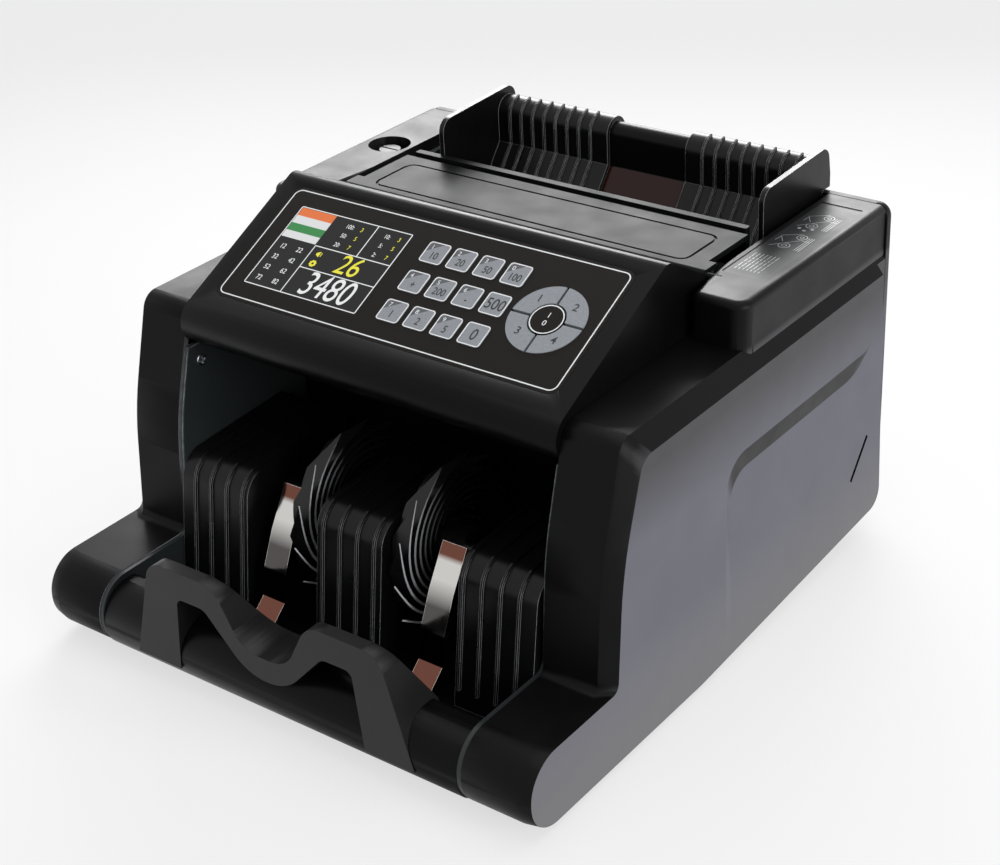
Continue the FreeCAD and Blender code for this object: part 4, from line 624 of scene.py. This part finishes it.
def round_loop(x, y, radius, steps=40):
    """Closed run of points round a circle."""
    turns = [2 * math.pi * i / steps for i in range(steps)]
    return [(x + radius * math.cos(turn), y + radius * math.sin(turn)) for turn in turns]


def frame_loops(x0, y0, x1, y1, width, radius=0.0):
    """Outer and inner run of a printed frame."""
    inner = max(0.0, radius - width)
    return [box_loop(x0, y0, x1, y1, radius),
            box_loop(x0 + width, y0 + width, x1 - width, y1 - width, inner)]


def solid_of(curve, placed, low, high):
    """Closed mesh of a flat curve or text between two levels above a plane."""
    curve.extrude = (high - low) / 2
    holder = bpy.data.objects.new("draft", curve)
    bpy.context.scene.collection.objects.link(holder)
    ready = holder.evaluated_get(bpy.context.evaluated_depsgraph_get())
    mesh = bpy.data.meshes.new_from_object(ready)
    bpy.data.objects.remove(holder)
    mesh.transform(placed @ Matrix.Translation((0, 0, (low + high) / 2)))
    return mesh


def flat(loops):
    """Flat curve filled between its runs of points."""
    curve = bpy.data.curves.new("draft", "CURVE")
    curve.dimensions = "2D"
    curve.fill_mode = "BOTH"
    for loop in loops:
        run = curve.splines.new("POLY")
        run.points.add(len(loop) - 1)
        for point, (x, y) in zip(run.points, loop):
            point.co = (x, y, 0, 1)
        run.use_cyclic_u = True
    return curve


def words(text, x, y, height, lean=0.0, squeeze=1.0, bold=0.0):
    """Text curve of figures with its middle at a place, its strokes swollen by a little where bold."""
    curve = bpy.data.curves.new("draft", "FONT")
    curve.body = text
    curve.size = height / FIGURE_SHARE
    curve.shear = lean
    curve.offset = bold
    curve.align_x = "CENTER"
    curve.align_y = "CENTER"
    return curve, Matrix.Translation((x, y, 0)) @ Matrix.Diagonal((squeeze, 1, 1, 1))


def mesh_of(draft, name):
    """Mesh of a draft, which is used up."""
    mesh = bpy.data.meshes.new(name)
    draft.to_mesh(mesh)
    draft.free()
    return mesh


def turned(profile, start, steps=40):
    """Closed mesh of a profile of (along, radius) pairs turned about the X axis through a place."""
    made = bmesh.new()
    rings = []
    for along, radius in profile:
        loop = round_loop(start.y, start.z, radius, steps)
        rings.append([made.verts.new((start.x + along, y, z)) for y, z in loop])
    for one, two in zip(rings, rings[1:]):
        for i in range(steps):
            made.faces.new((one[i - 1], one[i], two[i], two[i - 1]))
    made.faces.new(rings[0])
    made.faces.new(rings[-1])
    bmesh.ops.recalc_face_normals(made, faces=made.faces)
    return mesh_of(made, "turned")


def shell(rows_a, rows_b):
    """Closed mesh between two grids of points of the same size."""
    made = bmesh.new()
    one = [[made.verts.new(point) for point in row] for row in rows_a]
    two = [[made.verts.new(point) for point in row] for row in rows_b]
    rows, columns = len(one), len(one[0])
    for i in range(rows - 1):
        for j in range(columns - 1):
            made.faces.new((one[i][j], one[i][j + 1], one[i + 1][j + 1], one[i + 1][j]))
            made.faces.new((two[i][j], two[i + 1][j], two[i + 1][j + 1], two[i][j + 1]))
    round_trip = [(0, j) for j in range(columns)]
    round_trip += [(i, columns - 1) for i in range(1, rows)]
    round_trip += [(rows - 1, j) for j in range(columns - 2, -1, -1)]
    round_trip += [(i, 0) for i in range(rows - 2, 0, -1)]
    for (i, j), (k, m) in zip(round_trip, round_trip[1:] + round_trip[:1]):
        made.faces.new((one[i][j], two[i][j], two[k][m], one[k][m]))
    bmesh.ops.recalc_face_normals(made, faces=made.faces)
    return mesh_of(made, "shell")


def smooth(mesh, angle=35.0):
    """Shade the round faces softly and keep the edges that turn by more than the angle."""
    for face in mesh.polygons:
        face.use_smooth = True
    mesh.set_sharp_from_angle(angle=math.radians(angle))
    return mesh


def merged(name, meshes):
    """One welded mesh out of several."""
    whole = bmesh.new()
    for mesh in meshes:
        whole.from_mesh(mesh)
        bpy.data.meshes.remove(mesh)
    bmesh.ops.remove_doubles(whole, verts=whole.verts, dist=0.0005 * MM)
    return mesh_of(whole, name)


def printed(name, drawings, placed, level, body, material, thick=None):
    """A print: outlines and figures laid as thin solids on a face."""
    rise = thick or settings()[0].print_height
    meshes = []
    for drawing in drawings:
        curve, own = drawing if isinstance(drawing, tuple) else (flat(drawing), Matrix.Identity(4))
        meshes.append(solid_of(curve, placed @ own, level - rise, level + rise))
    return piece(name, merged(name, meshes), body, material)


def key_print(node, part, drawings, level, tone):
    """A print in one ink on the face of a key, which it rides on."""
    printed(node + part, drawings, panel_frame()[0], level, "body_" + node, screen_ink(tone))


# One operator for each piece or group of like pieces

class COUNTER_OT_covers(bpy.types.Operator):
    """Finish the side covers, the rear cover and the bar under the stacker"""
    bl_idname = "counter.covers"
    bl_label = "Covers"

    def execute(self, context):
        covers = ("side_cover_left", "side_cover_right", "rear_cover")
        dress(abs_spark_eroded_painted_light(), *covers)
        dress(abs_satin(), "front_bar")
        soften(settings()[0].edge, *covers, "front_bar")
        return {"FINISHED"}


class COUNTER_OT_hood(bpy.types.Operator):
    """Finish the panel housing, the lid and the bar of the feed slot"""
    bl_idname = "counter.hood"
    bl_label = "Hood and lid"

    def execute(self, context):
        dress(abs_satin(), "panel_housing")
        dress(abs_lid(), "top_lid", "feed_gap_bar")
        soften(settings()[0].edge * 0.7, "panel_housing", "top_lid", "feed_gap_bar")
        return {"FINISHED"}


class COUNTER_OT_overlay(bpy.types.Operator):
    """Print the border on the control panel's overlay"""
    bl_idname = "counter.overlay"
    bl_label = "Overlay"

    def execute(self, context):
        sizes = settings()[0]
        dress(polycarbonate_film(), "keypad_overlay")
        placed, span = panel_frame()
        inset = sizes.border_inset
        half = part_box("keypad_overlay")[1].x - inset
        border = frame_loops(-half, inset, half, span - inset, sizes.border_width, sizes.border_corner)
        printed("overlay_border", [border], placed, 0.0, "chassis", screen_ink("white"))
        return {"FINISHED"}


class COUNTER_OT_keys(bpy.types.Operator):
    """Print the twelve square keys: outline, dark corner, figure and number"""
    bl_idname = "counter.keys"
    bl_label = "Square keys"

    KEYS = (("key_1", "1", "10"), ("key_2", "2", "20"), ("key_3", "3", "50"), ("key_0", "0", "100"),
            ("key_4", "4", "+"), ("key_5", "5", "200"), ("key_6", "6", "-"), ("key_batch", "", "500"),
            ("key_7", "7", "1"), ("key_8", "8", "2"), ("key_9", "9", "5"), ("key_clear", "", "0"))
    # the dark corner, in shares of half a key
    CORNER = ((-1, 0.02), (0.40, 1), (-0.72, 1), (-1, 0.72))

    def execute(self, context):
        sizes = settings()[0]
        for node, figure, number in self.KEYS:
            dress(key_film(), node)
            x, y, face, half = key_face(node)
            white = [frame_loops(x - half, y - half, x + half, y + half, sizes.key_line, sizes.key_round)]
            # a number that stands alone is larger and nearer the middle
            grown, drop = (1.0, 0.30) if figure else (1.5, 0.06)
            dark = [words(number, x + half * 0.04, y - half * drop, sizes.key_number * grown,
                          squeeze=0.80, bold=sizes.print_swell)]
            if figure:
                edge = half - sizes.key_line
                corner = [(x + edge * u, y + edge * v) for u, v in self.CORNER]
                key_print(node, "_corner", [[corner]], face, "corner")
                white.append(words(figure, x - half * 0.50, y + half * 0.50, sizes.key_figure))
            key_print(node, "_outline", white, face + sizes.overprint, "white")
            key_print(node, "_number", dark, face, "dark")
        return {"FINISHED"}


class COUNTER_OT_ring(bpy.types.Operator):
    """Print the four ring keys and the centre key"""
    bl_idname = "counter.ring"
    bl_label = "Ring keys"

    KEYS = (("pad_up_left", "1"), ("pad_up_right", "2"), ("pad_down_left", "3"), ("pad_down_right", "4"))

    def execute(self, context):
        sizes = settings()[0]
        x, y, face, radius = key_face("pad_centre")
        for node, number in self.KEYS:
            dress(key_film(), node)
            u, v, middle = on_panel(node)
            figure = words(number, x + (u - x) * 0.98, y + (v - y) * 0.98, sizes.key_number,
                           bold=sizes.print_swell)
            key_print(node, "_number", [figure], face, "dark")
        dress(polycarbonate_film(), "pad_centre")
        ring = [round_loop(x, y, radius), round_loop(x, y, radius - sizes.key_line)]
        figures = [words(text, x, y + rise * MM, 2.6 * MM) for text, rise in (("1", 2.0), ("0", -2.0))]
        key_print("pad_centre", "_print", [ring] + figures, face, "white")
        return {"FINISHED"}


class COUNTER_OT_screen(bpy.types.Operator):
    """Light the display with a stripe tile, rows of figures and two large numbers"""
    bl_idname = "counter.screen"
    bl_label = "Display"

    # shares of the window's width and height: lines between two places, the foot and the head of the
    # stripes, and columns of figures; the figures' heights are lengths
    LINES = ((0.335, 0, 0.335, 0.60), (0.335, 0.60, 1, 0.60), (0.335, 0.33, 1, 0.33), (0.70, 0.60, 0.70, 1))
    STRIPES = (("low", "#e9ebec", 0.61, 0.695), ("green", "#1c8a3c", 0.695, 0.79),
               ("middle", "#e9ebec", 0.79, 0.885), ("orange", "#ee7427", 0.885, 0.985))
    LISTS = ((0.49, ("100", "50", "20")), (0.82, ("10", "5", "2")))
    SIDE_FIGURE, LIST_FIGURE, COUNT_FIGURE, TOTAL_FIGURE = 2.6 * MM, 2.3 * MM, 10.4 * MM, 12.6 * MM
    SPEAKER = ((-1.3, -0.5), (0.5, -1.5), (0.5, 1.5), (-1.3, 0.5))

    def execute(self, context):
        sizes, colours = settings()[:2]
        dress(float_glass(), "display_module")
        placed = panel_frame()[0]
        low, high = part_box("display_module")
        x0, x1 = low.x + sizes.screen_rim, high.x - sizes.screen_rim
        wide, tall = x1 - x0, sizes.screen_tall
        y0 = on_panel("display_module").y - tall / 2
        half = sizes.screen_line / 2
        # the display lies a little below the overlay
        face = -0.1 * MM

        def at(u, v):
            return x0 + wide * u, y0 + tall * v

        def rule(u0, v0, u1, v1):
            (a, b), (c, d) = at(u0, v0), at(u1, v1)
            return [box_loop(a, b - half, c, b + half) if v0 == v1 else box_loop(a - half, b, a + half, d)]

        def lay(name, drawings, level, material):
            printed("display_" + name, drawings, placed, level, "chassis", material)

        white = lit("display_white", colours.lit_white, 0.9)
        yellow = lit("display_yellow", colours.lit_yellow, 0.9)
        edge = frame_loops(x0, y0, x1, y0 + tall, sizes.screen_line, 0.8 * MM)
        lay("lines", [edge] + [rule(*ends) for ends in self.LINES], face, white)

        rows, marks = [], []
        for i in range(8):
            place = at(0.09 + 0.15 * (i % 2), 0.50 - 0.135 * (i // 2))
            rows.append(words(str(10 * i + 12), *place, self.SIDE_FIGURE, squeeze=0.85))
        for column, texts in self.LISTS:
            for i, text in enumerate(texts):
                level = 0.90 - 0.115 * i
                rows.append(words(text + ":", *at(column, level), self.LIST_FIGURE, squeeze=0.8))
                marks.append(words(str(3 + 2 * i), *at(column + 0.105, level), self.LIST_FIGURE, squeeze=0.8))
        rows.append(words("3480", *at(0.665, 0.165), self.TOTAL_FIGURE, 0.12, 0.76))
        lay("white_figures", rows, face + sizes.overprint, white)
        marks.append(words("26", *at(0.70, 0.465), self.COUNT_FIGURE, 0.12, 0.85))

        # a small gear and a loudspeaker
        x, y = at(0.415, 0.40)
        teeth = []
        for i in range(16):
            radius = (1.9 if i % 2 else 1.5) * MM
            teeth.append((x + radius * math.cos(i * math.pi / 8), y + radius * math.sin(i * math.pi / 8)))
        marks.append([teeth, round_loop(x, y, 0.6 * MM, 12)])
        x, y = at(0.41, 0.515)
        marks.append([[(x + u * MM, y + v * MM) for u, v in self.SPEAKER]])
        marks.append([box_loop(x + 1.1 * MM, y - 1.0 * MM, x + 1.5 * MM, y + 1.0 * MM)])
        lay("yellow_figures", marks, face + sizes.overprint, yellow)

        for name, code, foot, head in self.STRIPES:
            stripe = box_loop(*at(0.012, foot), *at(0.325, head))
            lay("stripe_" + name, [[stripe]], face, lit("display_" + name + "_stripe", code, 0.85))
        return {"FINISHED"}


class COUNTER_OT_hopper(bpy.types.Operator):
    """Finish the hopper: tray, window and the two sliding guides"""
    bl_idname = "counter.hopper"
    bl_label = "Hopper"

    def execute(self, context):
        dress(abs_polished(), "hopper_tray")
        dress(abs_ribbed_painted_highlights(), "hopper_guide_left", "hopper_guide_right")
        dress(acrylic_tinted(), "hopper_window")
        return {"FINISHED"}


class COUNTER_OT_bay(bpy.types.Operator):
    """Finish the stacker bay: frames, floor, guides and strips"""
    bl_idname = "counter.bay"
    bl_label = "Stacker bay"

    def execute(self, context):
        dress(steel_painted(), "side_frame_left", "side_frame_right")
        dress(abs_polished(), "bay_floor")
        dress(abs_painted_edge_highlights(), "stacker_guide_left", "stacker_guide_centre", "stacker_guide_right")
        dress(steel_spring(), "strip_left", "strip_right")
        return {"FINISHED"}


class COUNTER_OT_wheels(bpy.types.Operator):
    """Make the bladed wheels: a hub with curled blades whose ends are cut to a point"""
    bl_idname = "counter.wheels"
    bl_label = "Bladed wheels"

    BLADES = 14
    BORE = 4.4 * MM
    # degrees: the first blade, how far back a blade reaches, the slant of its end, and the lengths
    # over which its point flicks out and its sheet grows to full thickness
    FIRST, TAIL, SKEW, FLICK, TAPER = 125, 150, 26, 12, 40

    def blade(self, sizes, left, right, axis, turn):
        """One curled sheet: its end runs from its left corner to the point at its right."""
        steps, columns = 22, 4
        tail, skew, flick, taper = (math.radians(v) for v in (self.TAIL, self.SKEW, self.FLICK, self.TAPER))
        grids = []
        for side in (-1, 1):
            grid = []
            for i in range(steps + 1):
                row = []
                for j in range(columns + 1):
                    across = j / columns
                    start = skew * (1 - across)
                    back = start + (tail - start) * i / steps
                    reach = (sizes.blade_reach - sizes.blade_fall * back
                             + sizes.blade_flick * math.exp(-back / flick))
                    thick = sizes.blade_sheet * (0.62 + 0.38 * min(1, (back - start) / taper))
                    radius = reach + side * thick / 2
                    angle = turn + back
                    row.append((left + (right - left) * across, axis.y + radius * math.cos(angle),
                                axis.z + radius * math.sin(angle)))
                grid.append(row)
            grids.append(grid)
        return shell(*grids)

    def execute(self, context):
        sizes = settings()[0]
        finish = nylon_moulded()
        axis = centre("impeller_shaft")
        hub, wide = sizes.wheel_hub, sizes.wheel_blades
        for node in ("impeller_left", "impeller_right"):
            low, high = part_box(node)
            left, whole = low.x, high.x - low.x
            profile = [(0, hub * 0.8), (0, hub), (wide, hub), (wide, hub * 0.75), (whole, hub * 0.75),
                       (whole, self.BORE)]
            meshes = [turned(profile, Vector((left, axis.y, axis.z)))]
            for i in range(self.BLADES):
                turn = math.radians(self.FIRST + 360 / self.BLADES * i)
                meshes.append(self.blade(sizes, left, left + wide, axis, turn))
            wheel = piece(node + "_blades", smooth(merged(node, meshes)), "stacker_wheels",
                          finish)
            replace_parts(wheel, node)
        return {"FINISHED"}


class COUNTER_OT_screws(bpy.types.Operator):
    """Make the pan-head screws on the frames, each with a cross recess"""
    bl_idname = "counter.screws"
    bl_label = "Screws"

    # shares: height of the head at its rim, reach of the recess, and height left in the recess
    RIM, REACH, SUNK = 0.35, 0.62, 0.3

    def head(self, sizes, x, y, z, way):
        """Domed head with a cross sunk into it, on a grid bent to a disc."""
        count = 28
        radius = sizes.screw_radius
        slot = sizes.screw_slot / radius
        face, back = [], []
        for i in range(count + 1):
            front_row, back_row = [], []
            for j in range(count + 1):
                u, v = 2 * i / count - 1, 2 * j / count - 1
                a, b = u * math.sqrt(1 - v * v / 2), v * math.sqrt(1 - u * u / 2)
                far = min(1.0, math.hypot(a, b))
                dome = math.sqrt(max(0.0, 1 - far ** 2 * 0.95))
                rise = sizes.screw_rise * (self.RIM + (1 - self.RIM) * dome)
                if far < self.REACH and min(abs(a), abs(b)) < slot / 2:
                    rise *= self.SUNK
                front_row.append((x + way * rise, y + a * radius, z + b * radius))
                back_row.append((x, y + a * radius, z + b * radius))
            face.append(front_row)
            back.append(back_row)
        return shell(face, back)

    def execute(self, context):
        sizes = settings()[0]
        low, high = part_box("bay_screws")
        r = sizes.screw_radius
        meshes = []
        for y, z in ((low.y + r, low.z + r), (high.y - r, high.z - r)):
            meshes += [self.head(sizes, low.x, y, z, 1), self.head(sizes, high.x, y, z, -1)]
        heads = smooth(merged("heads", meshes))
        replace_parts(piece("bay_screw_heads", heads, "chassis", steel_zinc()), "bay_screws")
        return {"FINISHED"}


class COUNTER_OT_stop(bpy.types.Operator):
    """Finish the stop in front of the notes"""
    bl_idname = "counter.stop"
    bl_label = "Note stop"

    def execute(self, context):
        dress(abs_grey(), "stop_bracket")
        soften(settings()[0].edge * 3, "stop_bracket", angle=35.0, segments=3)
        return {"FINISHED"}


class COUNTER_OT_label(bpy.types.Operator):
    """Lay the plain label with its drawings on the right block, and finish the gap screw"""
    bl_idname = "counter.label"
    bl_label = "Label and gap screw"

    # all in millimetres: the recess from corner to corner and the level of its floor
    RECESS = (98.0, 40.3, 117.5, 122.3)
    FLOOR = 155.6
    GAP, PEN, INK, FILM = 0.15, 0.26, 0.012, 0.06
    # two drawings of rollers with notes between them and the lines of a pile, each from its own place
    PLACES = (34.0, 57.0)
    STROKES = ((3.0, -2.0, 12.0, 8.0), (12.0, 8.0, 16.0, 8.0), (2.5, 9.0, 10.0, 14.5),
               (14.4, -2.0, 14.4, 12.0), (15.4, -2.0, 15.4, 12.0), (16.4, -2.0, 16.4, 12.0),
               (6.0, 4.0, 3.0, 8.5), (3.0, 8.5, 2.6, 4.0))
    ROLLERS = ((8.6, 0.6, 2.6), (11.2, 11.0, 2.4), (8.6, 0.6, 1.2), (11.2, 11.0, 1.0))
    DOTS = ((4.5, 52.5), (7.5, 51.0), (10.0, 53.5))

    def strokes(self, start, runs):
        """Closed outlines of straight pen strokes, from (x, y) to (x, y)."""
        drawings = []
        for x0, y0, x1, y1 in runs:
            share = self.PEN / 2 / math.hypot(x1 - x0, y1 - y0)
            dx, dy = (y0 - y1) * share, (x1 - x0) * share
            corners = ((x0 + dx, y0 + dy), (x1 + dx, y1 + dy), (x1 - dx, y1 - dy), (x0 - dx, y0 - dy))
            drawings.append([[(start[0] + x * MM, start[1] + y * MM) for x, y in corners]])
        return drawings

    def execute(self, context):
        dress(abs_polished(), "gap_screw")
        x0, y0, x1, y1 = (v * MM for v in self.RECESS)
        gap = self.GAP * MM
        ground = Matrix.Translation((0, 0, self.FLOOR * MM))

        def lay(name, drawings, level, material, thick):
            printed(name, drawings, ground, level * MM, "chassis", material, thick * MM)

        film = box_loop(x0 + gap, y0 + gap, x1 - gap, y1 - gap, 1.0 * MM)
        lay("label_film", [[film]], self.FILM, label_film(), self.FILM)
        lines = []
        # short runs of strokes stand for the lines of small print
        for i in range(7):
            across, start = 2.8 + 1.75 * i, 5.5
            for j in range(5):
                stop = start + 1.8 + 1.1 * ((3 * i + 2 * j) % 3)
                lines.append((across, start, across, stop))
                start = stop + 0.7
        for place in self.PLACES:
            lines += [(a, place + b, c, place + d) for a, b, c, d in self.STROKES]
        drawings = self.strokes((x0, y0), lines)
        for place in self.PLACES:
            for u, v, radius in self.ROLLERS:
                a, b = x0 + u * MM, y0 + (place + v) * MM
                drawings.append([round_loop(a, b, size * MM, 24) for size in (radius, radius - 0.36)])
        for a, b in self.DOTS:
            drawings.append([box_loop(x0 + a * MM, y0 + b * MM, x0 + (a + 1.4) * MM, y0 + (b + 1.4) * MM)])
        lay("label_drawings", drawings, 0.13, screen_ink("label"), self.INK)
        # dark strips along the label's inner and rear edges, where the recess walls stand over it: painted
        # shade
        edges = (box_loop(x0 + gap, y0 + gap, x0 + 3 * gap, y1 - gap),
                 box_loop(x0 + gap, y1 - 3 * gap, x1 - gap, y1 - gap))
        lay("label_edge_painted_shade", [[loop] for loop in edges], 0.14, polycarbonate_film(), self.INK)
        return {"FINISHED"}


class COUNTER_OT_inside(bpy.types.Operator):
    """Finish the rollers, belts, motor and boards"""
    bl_idname = "counter.inside"
    bl_label = "Inside"

    FINISHES = ((rubber_moulded, ("feed_rollers", "pinch_rollers", "pickup_rollers", "rubber_feet")),
                (steel_ground, ("impeller_shaft",)),
                (acetal_moulded, ("impeller_pulley", "feed_shaft", "motor_pulley")),
                (neoprene_belt, ("drive_belts",)),
                (steel_can, ("main_motor",)),
                (laminate_green, ("main_board", "keypad_board")),
                (steel_zinc, ("power_supply",)),
                (steel_black, ("base_pan",)),
                (abs_polished, ("inlet_socket", "power_switch")))

    def execute(self, context):
        for finish, nodes in self.FINISHES:
            dress(finish(), *nodes)
        return {"FINISHED"}


# Stage

def softbox(name, place, target, wide, tall, power, spread):
    """Area lamp turned to a target; a narrow spread is that of a softbox with a honeycomb before it."""
    lamp = bpy.data.lights.new(name, "AREA")
    lamp.spread = math.radians(spread)
    lamp.shape = "RECTANGLE"
    lamp.size = wide
    lamp.size_y = tall
    lamp.energy = power
    holder = bpy.data.objects.new(name, lamp)
    bpy.context.scene.collection.objects.link(holder)
    holder.location = place
    holder.rotation_euler = (target - Vector(place)).to_track_quat("-Z", "Y").to_euler()
    holder.visible_camera = False


def background_seen(tree):
    """One for rays that look at the background, straight, mirrored or through glass."""
    path = add(tree, "ShaderNodeLightPath")
    either = add(tree, "ShaderNodeMath", {"operation": "MAXIMUM"},
                 {0: path.outputs["Is Camera Ray"], 1: path.outputs["Is Glossy Ray"]})
    return add(tree, "ShaderNodeMath", {"operation": "MAXIMUM"},
               {0: either.outputs[0], 1: path.outputs["Is Transmission Ray"]}).outputs[0]


@made_once
def studio_floor(tree, stage):
    """Pale sheet: partly self-lit, so that it stays white and still shows the shadow."""
    glow = add(tree, "ShaderNodeEmission", {"Color": linear(stage.floor), "Strength": stage.floor_glow})
    plain = add(tree, "ShaderNodeBsdfDiffuse", None,
                {"Color": tones(tree, speckle(tree, 3.0), "#8a8a8a", 0.01)})
    both = add(tree, "ShaderNodeAddShader", None, {0: glow.outputs[0], 1: plain.outputs[0]})
    seen = add(tree, "ShaderNodeMixShader", None,
               {0: background_seen(tree), 1: plain.outputs[0], 2: both.outputs[0]})
    add(tree, "ShaderNodeOutputMaterial", None, {"Surface": seen.outputs[0]})


class COUNTER_OT_stage(bpy.types.Operator):
    """Set up the floor, the room, the lamps and the camera"""
    bl_idname = "counter.stage"
    bl_label = "Stage"

    # place, width and height in metres, power in watts and spread in degrees
    LAMPS = (("lamp_above", (0.15, 0.1, 1.5), 1.4, 1.4, 6.0, 180.0),
             ("lamp_right", (1.3, -0.25, 0.45), 1.0, 0.8, 3.2, 90.0),
             ("lamp_behind", (-0.42, 0.72, 0.46), 0.85, 0.4, 2.5, 80.0))
    # half the side of the floor in metres
    FLOOR = 6.0

    def execute(self, context):
        stage = settings()[2]
        scene = context.scene
        self.room(scene, stage)
        self.floor(scene, stage)
        middle = (cad_box[0] + cad_box[1]) / 2
        for name, place, wide, tall, power, spread in self.LAMPS:
            softbox(name, place, middle, wide, tall, power, spread)
        self.camera(scene, stage)
        scene.view_settings.view_transform = "Standard"
        return {"FINISHED"}

    def room(self, scene, stage):
        """White room, seen at full strength and lighting the counter at its own."""
        world = bpy.data.worlds.new("room")
        scene.world = world
        world.use_nodes = True
        tree = world.node_tree
        tree.nodes.clear()
        white = linear(stage.floor)
        seen = add(tree, "ShaderNodeBackground", {"Color": white, "Strength": 1.0})
        light = add(tree, "ShaderNodeBackground", {"Color": white, "Strength": stage.sky})
        both = add(tree, "ShaderNodeMixShader", None,
                   {0: background_seen(tree), 1: light.outputs[0], 2: seen.outputs[0]})
        add(tree, "ShaderNodeOutputWorld", None, {"Surface": both.outputs[0]})

    def floor(self, scene, stage):
        """Large sheet under the counter."""
        half = self.FLOOR
        corners = [(-half, -half, 0), (half, -half, 0), (half, half, 0), (-half, half, 0)]
        mesh = bpy.data.meshes.new("floor")
        mesh.from_pydata(corners, [], [(0, 1, 2, 3)])
        sheet = bpy.data.objects.new("floor", mesh)
        scene.collection.objects.link(sheet)
        mesh.materials.append(studio_floor("studio_floor", stage))

    def camera(self, scene, stage):
        """Camera at its place, turned by azimuth, elevation and roll."""
        a, e, r = stage.azimuth, stage.elevation, stage.roll
        ahead = Vector((-math.sin(a) * math.cos(e), math.cos(a) * math.cos(e), -math.sin(e)))
        level = Vector((math.cos(a), math.sin(a), 0))
        upright = level.cross(ahead)
        right = math.cos(r) * level + math.sin(r) * upright
        up = -math.sin(r) * level + math.cos(r) * upright
        lens = bpy.data.cameras.new("camera")
        lens.lens = stage.lens
        lens.sensor_width = 36.0
        lens.clip_end = 50.0
        holder = bpy.data.objects.new("camera", lens)
        scene.collection.objects.link(holder)
        placed = Matrix((right, up, -ahead)).transposed().to_4x4()
        placed.translation = Vector(stage.camera_place)
        holder.matrix_world = placed
        scene.camera = holder


OPERATORS = (COUNTER_OT_covers, COUNTER_OT_hood, COUNTER_OT_overlay, COUNTER_OT_keys, COUNTER_OT_ring,
             COUNTER_OT_screen, COUNTER_OT_hopper, COUNTER_OT_bay, COUNTER_OT_wheels, COUNTER_OT_screws,
             COUNTER_OT_stop, COUNTER_OT_label, COUNTER_OT_inside, COUNTER_OT_stage)


class COUNTER_PT_pieces(bpy.types.Panel):
    bl_label = "Banknote counter"
    bl_idname = "COUNTER_PT_pieces"
    bl_space_type = "VIEW_3D"
    bl_region_type = "UI"
    bl_category = "Counter"

    def draw(self, context):
        for group in settings():
            box = self.layout.box()
            for key in group.__annotations__:
                box.prop(group, key)
        for kind in OPERATORS:
            self.layout.operator(kind.bl_idname)


GROUPS = {"counter_sizes": CounterSizes, "counter_colours": CounterColours, "counter_stage": CounterStage}


def register():
    for kind in (*GROUPS.values(), *OPERATORS, COUNTER_PT_pieces):
        bpy.utils.register_class(kind)
    for name, kind in GROUPS.items():
        setattr(bpy.types.Scene, name, PointerProperty(type=kind))


def unregister():
    for name in GROUPS:
        delattr(bpy.types.Scene, name)
    for kind in (COUNTER_PT_pieces, *reversed(OPERATORS), *GROUPS.values()):
        bpy.utils.unregister_class(kind)


def main():
    register()
    for kind in OPERATORS:
        getattr(bpy.ops.counter, kind.bl_idname.split(".")[1])()


if __name__ == "__main__":
    main()
